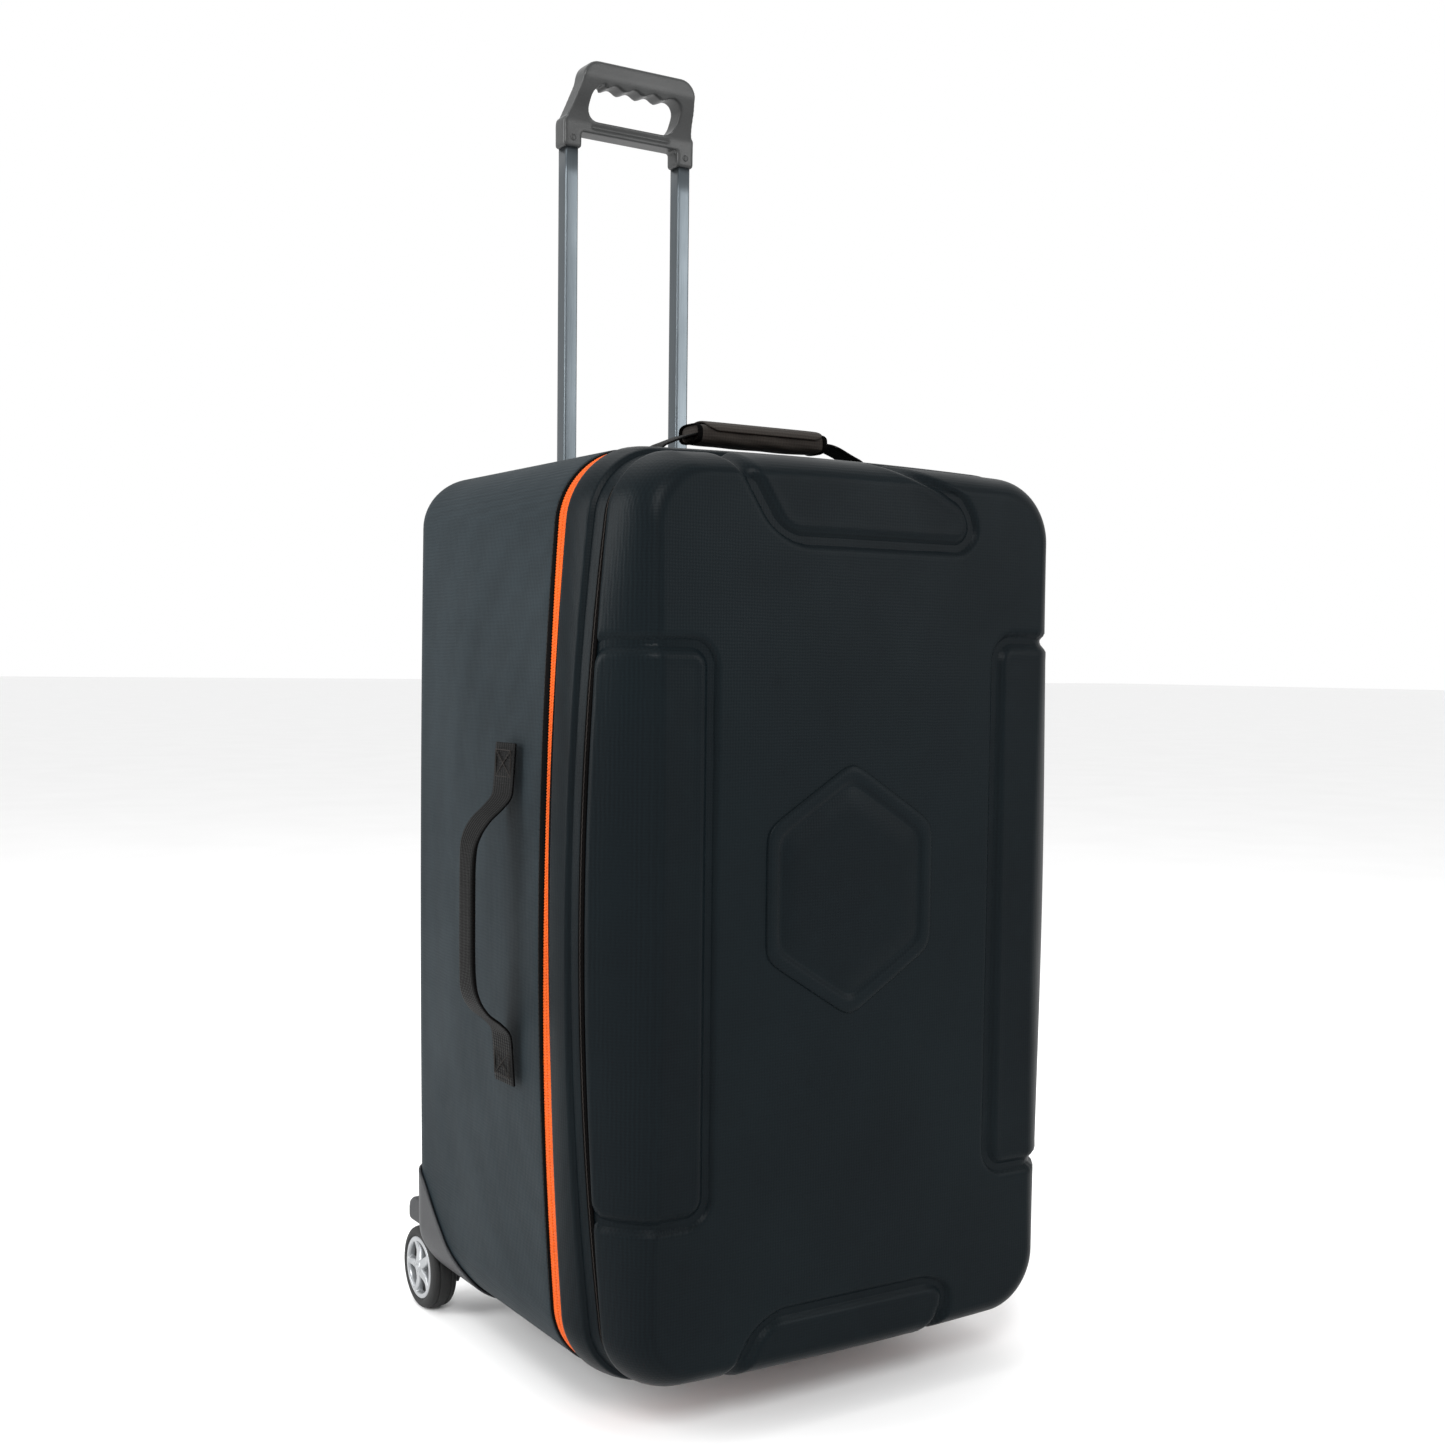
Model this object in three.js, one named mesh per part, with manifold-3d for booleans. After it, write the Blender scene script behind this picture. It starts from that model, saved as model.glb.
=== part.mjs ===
// A large wheeled equipment case: a deep moulded rear tray and a domed lid closed by a zip,
// with a telescopic pull handle, two rear wheels, two front feet, a padded top handle and a
// webbing side strap.
//
// Units are millimetres and +Z is up. The case is laid out with x = 0 on its centre plane,
// y = 0 on the zip line, the front towards -Y and z = 0 on the floor. The finished group is
// then shifted so that its origin is the centre of its footprint.
import * as THREE from 'three';
import { mergeVertices } from 'three/addons/utils/BufferGeometryUtils.js';
import Module from 'manifold-3d';

const wasm = await Module();
wasm.setup();

// ---------------------------------------------------------------- driving dimensions
const GAP = 0.3; // between pieces that touch
const MID = 425; // height of the case's middle above the floor

// Outlines of the case seen from the front: half sizes at the corners, the extra bulge at
// the middle of each side, and the corner radius.
const ZIP_LINE = { width: 227.9, bulgeX: 17.9, height: 380, bulgeZ: 5, radius: 59.5 };
const GROOVE = { width: 214.9, bulgeX: 27.3, height: 373.9, bulgeZ: 4.8, radius: 48.9 };
const FRONT = { width: 192.3, bulgeX: -5, height: 351.3, bulgeZ: 4.8, radius: 42.1 };
const BACK = { width: 222.7, bulgeX: 2.9, height: 379.7, bulgeZ: 2.1, radius: 48.7 };
const CORNER_STEPS = 5;
const LONG_SIDE_STEPS = 6;
const SHORT_SIDE_STEPS = 4;

const RIM_Y = 11.5; // the moulded rims start here, each side of the zip
const GROOVE_Y = 44.2; // from the zip line to the stitched groove of the lid
const DOME_DEPTH = 48.7; // from the groove to the front face
const BACK_Y = 335.7; // outside of the back wall
const BACK_EDGE = 42.2; // radius of the back edge
const WALL = 3.5; // moulded wall with its fabric
const LINING = 9; // foam lining on the side walls
const RIM_BULGE = 1.6; // how far the lid's rim band swells outwards

// Zip and hinge
const CHAIN_HALF = 6.5; // half width of the closed chain
const CHAIN_THICK = 2.2;
const TAPE_THICK = 1.4;
const HINGE_HALF_LENGTH = 150;
const HINGE_X = 250; // outside of the fabric hinge, and the hinge line
const HINGE_THICK = 1.8;
const SLIDER = { z: 672, tail: 6.5, head: 14, lidSide: 4.2, caseSide: 6, standOff: 1.4, spacing: 30 };
const PULL = { length: 22, width: 7, thick: 1.6 };

// Telescopic handle
const TUBE = { x: 63.8, y: 320.75, width: 14, depth: 17, wall: 1.3 };
const GUIDE = { width: 18.6, depth: 21.4, wall: 1.1, bottom: 92, top: 798 };
const INNER_TUBE_BOTTOM = 690;
const SOCKET_BOTTOM = 1137;
const SOCKET_DEPTH = 20;
const GRIP = { half: 73, topHalf: 63.5, top: 1217, thick: 22, lean: 21 };
const HAND_HOLE = { half: 50, bottom: 1165.5, top: 1196.5 };
const BAR_BOTTOM = 1153;
const BUTTON = { length: 42, width: 9, height: 8, proud: 1.5, travel: 2.5 };
const BEZEL_HALF = 92;
const BEZEL_TOP = 801;

// Wheels and feet
const WHEEL = { x: 216, y: 331.25, z: 40, radius: 40, width: 26, rim: 30 };
const AXLE_RADIUS = 4;
const WELL_RADIUS = 45;
const WELL_INNER_X = 184;
const HOUSING_WALL = 3.2;
const HOUSING_INNER_X = 158;
const FOOT = { x: 85, y: 80, top: 34, bottom: 24 };

// Carrying handles
const HANDLE_Y = 70; // centre line of both, behind the zip
const TOP_HANDLE = { half: 104, wrapHalf: 72, stand: 24, web: 30, thick: 2.4 };
const WRAP = { depth: 37, height: 20 };
const SIDE_STRAP = { top: 524, bottom: 323, reach: 281, width: 24, thick: 2.6, tab: 42 };

// ---------------------------------------------------------------- materials
const finish = (color, roughness, metalness = 0) => ({ color, roughness, metalness });
const FINISH = {
  shellFabric: finish(0x2f3a40, 0.85),
  lidFabric: finish(0x232a31, 0.7),
  lining: finish(0x1d1f22, 0.95),
  board: finish(0x24272a, 0.7),
  zipOrange: finish(0xf2692d, 0.55),
  tape: finish(0x14100d, 0.9),
  webbing: finish(0x0e0e0f, 0.85),
  wrapFabric: finish(0x3c3630, 0.9),
  housing: finish(0x4a4b48, 0.55),
  grip: finish(0x54585c, 0.5),
  tube: finish(0x3d4549, 0.35, 1),
  guide: finish(0x9aa0a4, 0.35, 1),
  steel: finish(0xb8babc, 0.3, 1),
  tyre: finish(0x2e2e2f, 0.8),
  hub: finish(0xcfcfd0, 0.4),
  slider: finish(0x1b1b1d, 0.4, 1),
};

// ---------------------------------------------------------------- solids
// A closed three.js geometry as a manifold solid, and back again.
function solid(geometry) {
  const bare = geometry.clone();
  bare.deleteAttribute('normal');
  bare.deleteAttribute('uv');
  const merged = mergeVertices(bare, 1e-3);
  const vertProperties = new Float32Array(merged.attributes.position.array);
  const triVerts = Uint32Array.from(merged.index.array);
  const built = new wasm.Manifold(new wasm.Mesh({ numProp: 3, vertProperties, triVerts }));
  if (built.volume() > 0) return built;
  // The outline was listed the other way round, so its faces point inwards: turn them.
  return new wasm.Manifold(new wasm.Mesh({ numProp: 3, vertProperties, triVerts: triVerts.reverse() }));
}

function toGeometry(manifold) {
  const mesh = manifold.getMesh();
  const geometry = new THREE.BufferGeometry();
  geometry.setAttribute('position', new THREE.BufferAttribute(mesh.vertProperties, 3));
  geometry.setIndex(new THREE.BufferAttribute(mesh.triVerts, 1));
  geometry.computeVertexNormals();
  return geometry;
}

const unite = (first, ...others) => others.reduce((sum, next) => sum.add(next), first);
const cutAway = (first, ...others) => others.reduce((rest, next) => rest.subtract(next), first);

// A box given by its low and high corner on each axis.
function box([x0, x1], [y0, y1], [z0, z1]) {
  const geometry = new THREE.BoxGeometry(x1 - x0, y1 - y0, z1 - z0);
  geometry.translate((x0 + x1) / 2, (y0 + y1) / 2, (z0 + z1) / 2);
  return solid(geometry);
}

// A round bar along X between two x positions.
function barX(radius, [x0, x1], y, z, sides = 24) {
  const geometry = new THREE.CylinderGeometry(radius, radius, x1 - x0, sides);
  geometry.rotateZ(Math.PI / 2);
  geometry.translate((x0 + x1) / 2, y, z);
  return solid(geometry);
}

// A flat outline of [u, v] points as a three.js shape.
const shapeOf = (points) => new THREE.Shape(points.map(([u, v]) => new THREE.Vector2(u, v)));

// An outline in the YZ plane, extruded along X.
function extrudeX(points, [x0, x1]) {
  const geometry = new THREE.ExtrudeGeometry(shapeOf(points), { depth: x1 - x0, bevelEnabled: false });
  // shape (u, v), depth w  ->  (x, y, z) = (w, u, v)
  const basis = new THREE.Matrix4().makeBasis(
    new THREE.Vector3(0, 1, 0), new THREE.Vector3(0, 0, 1), new THREE.Vector3(1, 0, 0));
  geometry.applyMatrix4(basis);
  geometry.translate(x0, 0, 0);
  return solid(geometry);
}

// An outline in the XZ plane, extruded along Y, with optional rounded edges.
function extrudeY(points, [y0, y1], bevel = 0, holes = []) {
  const shape = shapeOf(points);
  shape.holes = holes.map((hole) => new THREE.Path(shapeOf(hole).getPoints()));
  const geometry = new THREE.ExtrudeGeometry(shape, {
    depth: y1 - y0 - 2 * bevel, bevelEnabled: bevel > 0, bevelSegments: 2,
    bevelThickness: bevel, bevelSize: bevel, bevelOffset: -bevel,
  });
  // shape (u, v), depth w  ->  (x, y, z) = (u, -w, v)
  const basis = new THREE.Matrix4().makeBasis(
    new THREE.Vector3(1, 0, 0), new THREE.Vector3(0, 0, 1), new THREE.Vector3(0, -1, 0));
  geometry.applyMatrix4(basis);
  geometry.translate(0, y1 - bevel, 0);
  return solid(geometry);
}

// ---------------------------------------------------------------- case outlines
const between = (a, b, t) => a + (b - a) * t;

function blendOutline(first, second, t) {
  const mixed = {};
  for (const key of Object.keys(first)) mixed[key] = between(first[key], second[key], t);
  return mixed;
}

// The closed outline of a case section as [x, z] points, grown outwards by `grow`. The
// sides bulge: each coordinate is stretched most where the other one is zero.
function outlinePoints(spec, grow = 0) {
  const width = spec.width + grow;
  const height = spec.height + grow;
  const radius = Math.max(spec.radius + grow, 5);
  const cornerX = width - radius;
  const cornerZ = height - radius;
  const points = [];
  const corner = (signX, signZ, start) => {
    for (let i = 0; i <= CORNER_STEPS; i += 1) {
      const angle = start + (Math.PI / 2) * (i / CORNER_STEPS);
      points.push([signX * cornerX + radius * Math.cos(angle), signZ * cornerZ + radius * Math.sin(angle)]);
    }
  };
  const side = (from, to, steps) => {
    for (let i = 1; i < steps; i += 1) {
      points.push([between(from[0], to[0], i / steps), between(from[1], to[1], i / steps)]);
    }
  };
  corner(1, 1, 0);
  side([cornerX, height], [-cornerX, height], SHORT_SIDE_STEPS);
  corner(-1, 1, Math.PI / 2);
  side([-width, cornerZ], [-width, -cornerZ], LONG_SIDE_STEPS);
  corner(-1, -1, Math.PI);
  side([-cornerX, -height], [cornerX, -height], SHORT_SIDE_STEPS);
  corner(1, -1, Math.PI * 1.5);
  side([width, -cornerZ], [width, cornerZ], LONG_SIDE_STEPS);
  return points.map(([x, z]) => [
    x * (1 + (spec.bulgeX / width) * (1 - (z / height) ** 2)),
    z * (1 + (spec.bulgeZ / height) * (1 - (x / width) ** 2)) + MID,
  ]);
}

// A closed body through outlines placed at increasing y, with flat ends.
function loft(sections) {
  const count = sections[0].points.length;
  const positions = [];
  for (const { points, y } of sections) {
    for (const [x, z] of points) positions.push(x, y, z);
  }
  const last = sections.length - 1;
  const firstCentre = positions.length / 3;
  positions.push(0, sections[0].y, MID, 0, sections[last].y, MID);
  const indices = [];
  for (let s = 0; s < last; s += 1) {
    for (let i = 0; i < count; i += 1) {
      const a = s * count + i;
      const b = s * count + ((i + 1) % count);
      indices.push(a, b, a + count, b, b + count, a + count);
    }
  }
  for (let i = 0; i < count; i += 1) {
    const next = (i + 1) % count;
    indices.push(firstCentre, next, i);
    indices.push(firstCentre + 1, last * count + i, last * count + next);
  }
  const geometry = new THREE.BufferGeometry();
  geometry.setAttribute('position', new THREE.Float32BufferAttribute(positions, 3));
  geometry.setIndex(indices);
  return solid(geometry);
}

// The rear tray's envelope from y = `start` back to its rounded back edge. The sides are
// ruled straight between the rim's outline and the back's.
const BACK_STRAIGHT_Y = BACK_Y - BACK_EDGE;
const rearSpec = (y) => blendOutline(ZIP_LINE, BACK, y / BACK_STRAIGHT_Y);

function rearEnvelope(grow, start, edgeSteps = 4) {
  const sections = [{ points: outlinePoints(rearSpec(start), grow), y: start }];
  for (let i = 0; i <= edgeSteps; i += 1) {
    const angle = (Math.PI / 2) * (i / edgeSteps);
    const inset = BACK_EDGE * (1 - Math.cos(angle));
    const spec = { ...BACK, radius: Math.max(BACK.radius - inset * 0.5, 5) };
    const reach = (BACK_EDGE + grow) * Math.sin(angle);
    const inward = (BACK_EDGE + grow) * (1 - Math.cos(angle));
    sections.push({ points: outlinePoints(spec, grow - inward), y: BACK_STRAIGHT_Y + reach });
  }
  return loft(sections);
}

// The lid's envelope from y = -`start` forwards: a swollen rim band, then the dome.
function lidEnvelope(grow, start, domeSteps = 3, bandSteps = 2) {
  const sections = [];
  for (let i = domeSteps; i > 0; i -= 1) {
    const angle = (Math.PI / 2) * (i / domeSteps);
    const inset = 1 - Math.cos(angle);
    const rise = Math.sin(angle);
    const spec = {
      ...blendOutline(GROOVE, FRONT, inset),
      bulgeX: between(GROOVE.bulgeX, FRONT.bulgeX, rise),
    };
    sections.push({ points: outlinePoints(spec, grow), y: -GROOVE_Y - (DOME_DEPTH + grow) * rise });
  }
  for (let i = bandSteps; i >= 0; i -= 1) {
    const y = between(start, GROOVE_Y, i / bandSteps);
    const swell = RIM_BULGE * Math.sin(Math.PI * (i / bandSteps));
    const spec = blendOutline(ZIP_LINE, GROOVE, y / GROOVE_Y);
    sections.push({ points: outlinePoints(spec, grow + swell), y: -y });
  }
  return loft(sections);
}

// A band following the zip line, from y0 to y1 and from `inner` to `outer` off the line.
function zipBand([y0, y1], inner, outer) {
  const spec = { ...ZIP_LINE };
  const slab = (grow, from, to) =>
    loft([{ points: outlinePoints(spec, grow), y: from }, { points: outlinePoints(spec, grow), y: to }]);
  return cutAway(slab(outer, y0, y1), slab(inner, y0 - 1, y1 + 1));
}

// Half width of the zip line at a height above the floor.
const zipHalfWidthAt = (z) =>
  ZIP_LINE.width + ZIP_LINE.bulgeX * (1 - ((z - MID) / ZIP_LINE.height) ** 2);

// ---------------------------------------------------------------- the case group
const equipmentCase = new THREE.Group();

function addPiece(name, manifold, look) {
  const mesh = new THREE.Mesh(toGeometry(manifold), new THREE.MeshStandardMaterial(look));
  mesh.name = name;
  equipmentCase.add(mesh);
}

const SIDES = [['left', -1], ['right', 1]];

// A solid made for the right-hand side, moved to the side asked for by mirroring in x.
function onSide(manifold, sign) {
  if (sign > 0) return manifold;
  return manifold.mirror([1, 0, 0]);
}

// Everything the wheel housings take out of the tray's corners, for one side.
function housingSpace(sign, extra) {
  const well = barX(WELL_RADIUS + HOUSING_WALL + extra, [WELL_INNER_X - HOUSING_WALL - extra, 260],
    WHEEL.y, WHEEL.z, 36);
  return onSide(well, sign);
}

const tubeSlots = (width, depth, zRange) =>
  unite(...SIDES.map(([, sign]) => box(
    [sign * TUBE.x - width / 2, sign * TUBE.x + width / 2],
    [TUBE.y - depth / 2, TUBE.y + depth / 2], zRange)));

function buildRearTray() {
  const slots = tubeSlots(GUIDE.width + 2 * GAP, GUIDE.depth + 2 * GAP, [760, 830]);
  const spaces = SIDES.map(([, sign]) => housingSpace(sign, GAP));
  const shell = cutAway(rearEnvelope(0, RIM_Y, 5), rearEnvelope(-WALL, RIM_Y - 1), slots, ...spaces);
  addPiece('rear_shell', shell, FINISH.shellFabric);

  // A stiff board closes the channel that the guide tubes stand in.
  const boardFront = TUBE.y - GUIDE.depth / 2 - 3.5;
  const boardBack = TUBE.y - GUIDE.depth / 2 - 1;
  const inside = rearEnvelope(-WALL - GAP, RIM_Y + 1);
  const widerSpaces = SIDES.map(([, sign]) => housingSpace(sign, 2 * GAP));
  const board = cutAway(
    box([-240, 240], [boardFront, boardBack], [0, 850]).intersect(inside), ...widerSpaces);
  addPiece('back_board', board, FINISH.board);

  // The foam lining: side walls and a back pad in front of the board.
  const liningSpaces = SIDES.map(([, sign]) => housingSpace(sign, 3 * GAP));
  const frontPart = box([-260, 260], [RIM_Y + 2, boardFront - GAP], [0, 850]);
  const cavity = cutAway(
    rearEnvelope(-WALL - LINING, RIM_Y - 1).intersect(
      box([-260, 260], [RIM_Y, boardFront - LINING], [0, 850])),
    ...SIDES.map(([, sign]) => housingSpace(sign, LINING)));
  const lining = cutAway(inside.intersect(frontPart), cavity, ...liningSpaces);
  addPiece('rear_lining', lining, FINISH.lining);
}

function buildLid() {
  const shell = cutAway(lidEnvelope(0, RIM_Y, 5, 2), lidEnvelope(-WALL, RIM_Y - 1));
  addPiece('lid_shell', shell, FINISH.lidFabric);
  const body = lidEnvelope(-WALL - GAP, RIM_Y + 2);
  const lining = cutAway(body, lidEnvelope(-WALL - LINING, RIM_Y + 1));
  addPiece('lid_lining', lining, FINISH.lining);
}

// The zip stops short of the fabric hinge on the right-hand side.
function buildZipAndHinge() {
  const hingeRoom = box([150, 300], [-20, 20],
    [MID - HINGE_HALF_LENGTH - 8, MID + HINGE_HALF_LENGTH + 8]);
  const pieces = [
    ['rear_zip_chain', [GAP / 2, CHAIN_HALF], -CHAIN_THICK, 0, FINISH.zipOrange],
    ['lid_zip_chain', [-CHAIN_HALF, -GAP / 2], -CHAIN_THICK, 0, FINISH.zipOrange],
    ['rear_zip_tape', [CHAIN_HALF + GAP, RIM_Y - GAP], -TAPE_THICK, 0.2, FINISH.tape],
    ['lid_zip_tape', [-RIM_Y + GAP, -CHAIN_HALF - GAP], -TAPE_THICK, 0.2, FINISH.tape],
  ];
  for (const [name, range, inner, outer, look] of pieces) {
    addPiece(name, cutAway(zipBand(range, inner, outer), hingeRoom), look);
  }
  const HINGE_REACH = 24;
  for (const [name, range] of [['hinge_leaf_rear', [GAP, HINGE_REACH]], ['hinge_leaf_lid', [-HINGE_REACH, -GAP]]]) {
    const leaf = box([HINGE_X - HINGE_THICK, HINGE_X], range,
      [MID - HINGE_HALF_LENGTH, MID + HINGE_HALF_LENGTH]);
    addPiece(name, leaf, FINISH.webbing);
  }
}

// Two sliders meet on the right-hand side above the hinge. Each sits proud of the chain,
// square to the side's slope there, and carries a pull tab hanging from its bridge. Its plate
// is narrower on the lid's side, so that the lid's half of the chain swings past it.
function buildSliders() {
  const list = [['upper', 1], ['lower', -1]];
  for (const [name, sign] of list) {
    const z = SLIDER.z + (sign * SLIDER.spacing) / 2;
    const x = zipHalfWidthAt(z);
    const slope = zipHalfWidthAt(z + 0.5) - zipHalfWidthAt(z - 0.5);
    const tilt = Math.atan(slope);
    const place = (manifold) => manifold.rotate([0, (tilt * 180) / Math.PI, 0]).translate([x, 0, z]);
    const ends = [-sign * SLIDER.head, sign * SLIDER.tail].sort((a, b) => a - b);
    const { standOff } = SLIDER;
    const plate = box([standOff, standOff + 2.2], [-SLIDER.lidSide, SLIDER.caseSide], ends);
    const bridge = box([standOff + 2, standOff + 7.6], [-1.6, 1.6], [-5.5, 5.5]);
    const bridgeEye = box([standOff + 2.2, standOff + 6], [-3, 3], [-3.4, 3.4]);
    addPiece(`zip_slider_${name}`, place(cutAway(unite(plate, bridge), bridgeEye)), FINISH.slider);
    const tab = box([standOff + 3.7, standOff + 3.7 + PULL.thick],
      [-PULL.width / 2, PULL.width / 2], [-PULL.length, 1.4]);
    const window = box([standOff, standOff + 8], [-2.4, 2.4], [-9.5, -0.6]);
    addPiece(`zip_pull_${name}`, cutAway(tab, window).translate([x, 0, z]), FINISH.slider);
  }
}

// ---------------------------------------------------------------- telescopic handle
function rectTube(width, depth, wall, x, y, [z0, z1]) {
  const outer = box([x - width / 2, x + width / 2], [y - depth / 2, y + depth / 2], [z0, z1]);
  const bore = box([x - width / 2 + wall, x + width / 2 - wall],
    [y - depth / 2 + wall, y + depth / 2 - wall], [z0 - 1, z1 + 1]);
  return outer.subtract(bore);
}

// The grip seen from the front: sockets below, legs drawing in to a rounded top bar.
function gripOutline() {
  const inner = TUBE.x - (GRIP.half - TUBE.x);
  const half = [[inner, SOCKET_BOTTOM], [GRIP.half, SOCKET_BOTTOM], [GRIP.half, 1149], [GRIP.half, 1161],
    [71.5, 1164], [69.5, 1169], [67.5, 1176], [66, 1184], [64.5, 1192], [GRIP.topHalf, 1199]];
  const CORNER = 15;
  const STEPS = 6;
  for (let i = 1; i <= STEPS; i += 1) {
    const angle = (Math.PI / 2) * (i / STEPS);
    half.push([GRIP.topHalf - CORNER + CORNER * Math.cos(angle), GRIP.top - CORNER + CORNER * Math.sin(angle)]);
  }
  const left = half.map(([x, z]) => [-x, z]).reverse();
  return [...half, ...left, [-inner, BAR_BOTTOM - 4], [-inner + 4, BAR_BOTTOM], [inner - 4, BAR_BOTTOM],
    [inner, BAR_BOTTOM - 4]];
}

// The hand hole: rounded corners and four finger scallops along its upper edge.
function handHoleOutline() {
  const { half, bottom, top } = HAND_HOLE;
  const RADIUS = 13;
  const points = [];
  const STEPS = 4;
  const corner = (x, z, start) => {
    for (let i = 0; i <= STEPS; i += 1) {
      const angle = start + (Math.PI / 2) * (i / STEPS);
      points.push([x + RADIUS * Math.cos(angle), z + RADIUS * Math.sin(angle)]);
    }
  };
  corner(half - RADIUS, bottom + RADIUS, -Math.PI / 2);
  corner(half - RADIUS, top - RADIUS, 0);
  const SCALLOP_STEPS = 24;
  for (let i = 1; i < SCALLOP_STEPS; i += 1) {
    const t = i / SCALLOP_STEPS;
    const x = between(half - RADIUS, -half + RADIUS, t);
    points.push([x, top - 3.2 * Math.sin(Math.PI * 4 * t) ** 2]);
  }
  corner(-half + RADIUS, top - RADIUS, Math.PI / 2);
  corner(-half + RADIUS, bottom + RADIUS, Math.PI);
  return points;
}

// The grip leans forwards as it rises: y shifts by an S-curve of the height.
function leanForward(x, y, z) {
  const t = Math.min(Math.max((z - 1160) / (GRIP.top - 12 - 1160), 0), 1);
  return y - GRIP.lean * smooth(t);
}

function buildPullHandle() {
  const half = GRIP.thick / 2;
  const blank = extrudeY(gripOutline(), [TUBE.y - half, TUBE.y + half], 4, [handHoleOutline()]);
  const bent = blank.warp((v) => { v[1] = leanForward(...v); });
  const sockets = tubeSlots(TUBE.width + 2 * GAP, TUBE.depth + 2 * GAP,
    [SOCKET_BOTTOM - 1, SOCKET_BOTTOM + SOCKET_DEPTH + GAP]);
  const barY = TUBE.y - GRIP.lean;
  const recess = box([-BUTTON.length / 2 - GAP, BUTTON.length / 2 + GAP],
    [barY - BUTTON.width / 2 - GAP, barY + BUTTON.width / 2 + GAP],
    [GRIP.top - BUTTON.height - BUTTON.travel - 0.5, GRIP.top + 5]);
  addPiece('grip', cutAway(bent, sockets, recess), FINISH.grip);

  const buttonTop = GRIP.top + BUTTON.proud;
  addPiece('release_button', box([-BUTTON.length / 2, BUTTON.length / 2],
    [barY - BUTTON.width / 2, barY + BUTTON.width / 2],
    [buttonTop - BUTTON.height, buttonTop]), FINISH.housing);

  for (const [side, sign] of SIDES) {
    const x = sign * TUBE.x;
    addPiece(`inner_tube_${side}`, rectTube(TUBE.width, TUBE.depth, TUBE.wall, x, TUBE.y,
      [INNER_TUBE_BOTTOM, SOCKET_BOTTOM + SOCKET_DEPTH]), FINISH.tube);
    // The slide shoe plugs the tube's foot and runs inside the guide tube.
    const shoeWidth = GUIDE.width - 2 * GUIDE.wall - 1;
    const shoeDepth = GUIDE.depth - 2 * GUIDE.wall - 1;
    const shoe = box([x - shoeWidth / 2, x + shoeWidth / 2],
      [TUBE.y - shoeDepth / 2, TUBE.y + shoeDepth / 2],
      [INNER_TUBE_BOTTOM - 26, INNER_TUBE_BOTTOM - GAP]);
    const PIN = { radius: 2.5, length: 6, z: INNER_TUBE_BOTTOM - 14 };
    const outerFace = x + (sign * shoeWidth) / 2;
    const pinRange = [outerFace - sign * PIN.length, outerFace].sort((a, b) => a - b);
    const pocketRange = [outerFace - sign * (PIN.length + 3), outerFace + sign].sort((a, b) => a - b);
    const pocket = barX(PIN.radius + GAP, pocketRange, TUBE.y, PIN.z, 16);
    const rodHole = box([x - 2.5, x + 2.5], [TUBE.y + 3, TUBE.y + 7.6],
      [INNER_TUBE_BOTTOM - 5, INNER_TUBE_BOTTOM + 1]);
    addPiece(`slide_shoe_${side}`, cutAway(shoe, pocket, rodHole), FINISH.housing);
    addPiece(`lock_pin_${side}`, barX(PIN.radius, pinRange, TUBE.y, PIN.z, 16), FINISH.steel);
    // The release rod runs down inside the inner tube from the grip to the shoe.
    addPiece(`release_rod_${side}`, box([x - 2, x + 2], [TUBE.y + 3.4, TUBE.y + 6.4],
      [INNER_TUBE_BOTTOM, SOCKET_BOTTOM + SOCKET_DEPTH - 2]), FINISH.steel);
    // A cross rivet holds each tube in its socket; its head shows on the socket's front.
    const rivet = new THREE.CylinderGeometry(3.4, 3.4, 1.4, 16);
    rivet.translate(x, TUBE.y - half - 0.7 - GAP, SOCKET_BOTTOM + 9);
    addPiece(`grip_rivet_${side}`, solid(rivet), FINISH.steel);
  }
}

function buildHandleGuides() {
  for (const [side, sign] of SIDES) {
    addPiece(`guide_tube_${side}`, rectTube(GUIDE.width, GUIDE.depth, GUIDE.wall,
      sign * TUBE.x, TUBE.y, [GUIDE.bottom, GUIDE.top]), FINISH.guide);
  }
  // The bezel caps the rounded top edge of the tray around both guide tubes.
  const profile = [[297, 779], [337.4, 779], [337.4, 790], [335.8, 796], [331, BEZEL_TOP], [305, BEZEL_TOP],
    [297, BEZEL_TOP + 2]];
  const blank = extrudeX(profile, [-BEZEL_HALF, BEZEL_HALF]);
  const holes = tubeSlots(GUIDE.width + 2 * GAP, GUIDE.depth + 2 * GAP, [760, 830]);
  addPiece('handle_bezel', cutAway(blank, rearEnvelope(GAP, RIM_Y, 5), holes), FINISH.housing);
  // The lower bracket inside the tray carries the feet of both guide tubes.
  const block = box([-TUBE.x - 16, TUBE.x + 16],
    [TUBE.y - GUIDE.depth / 2 - 0.6, TUBE.y + GUIDE.depth / 2 + 0.2], [GUIDE.bottom - 10, GUIDE.bottom + 16]);
  const seats = tubeSlots(GUIDE.width + 2 * GAP, GUIDE.depth + 2 * GAP, [GUIDE.bottom - GAP, GUIDE.bottom + 40]);
  const room = rearEnvelope(-WALL - GAP, RIM_Y);
  addPiece('guide_bracket', cutAway(block.intersect(room), seats), FINISH.housing);
}

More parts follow.
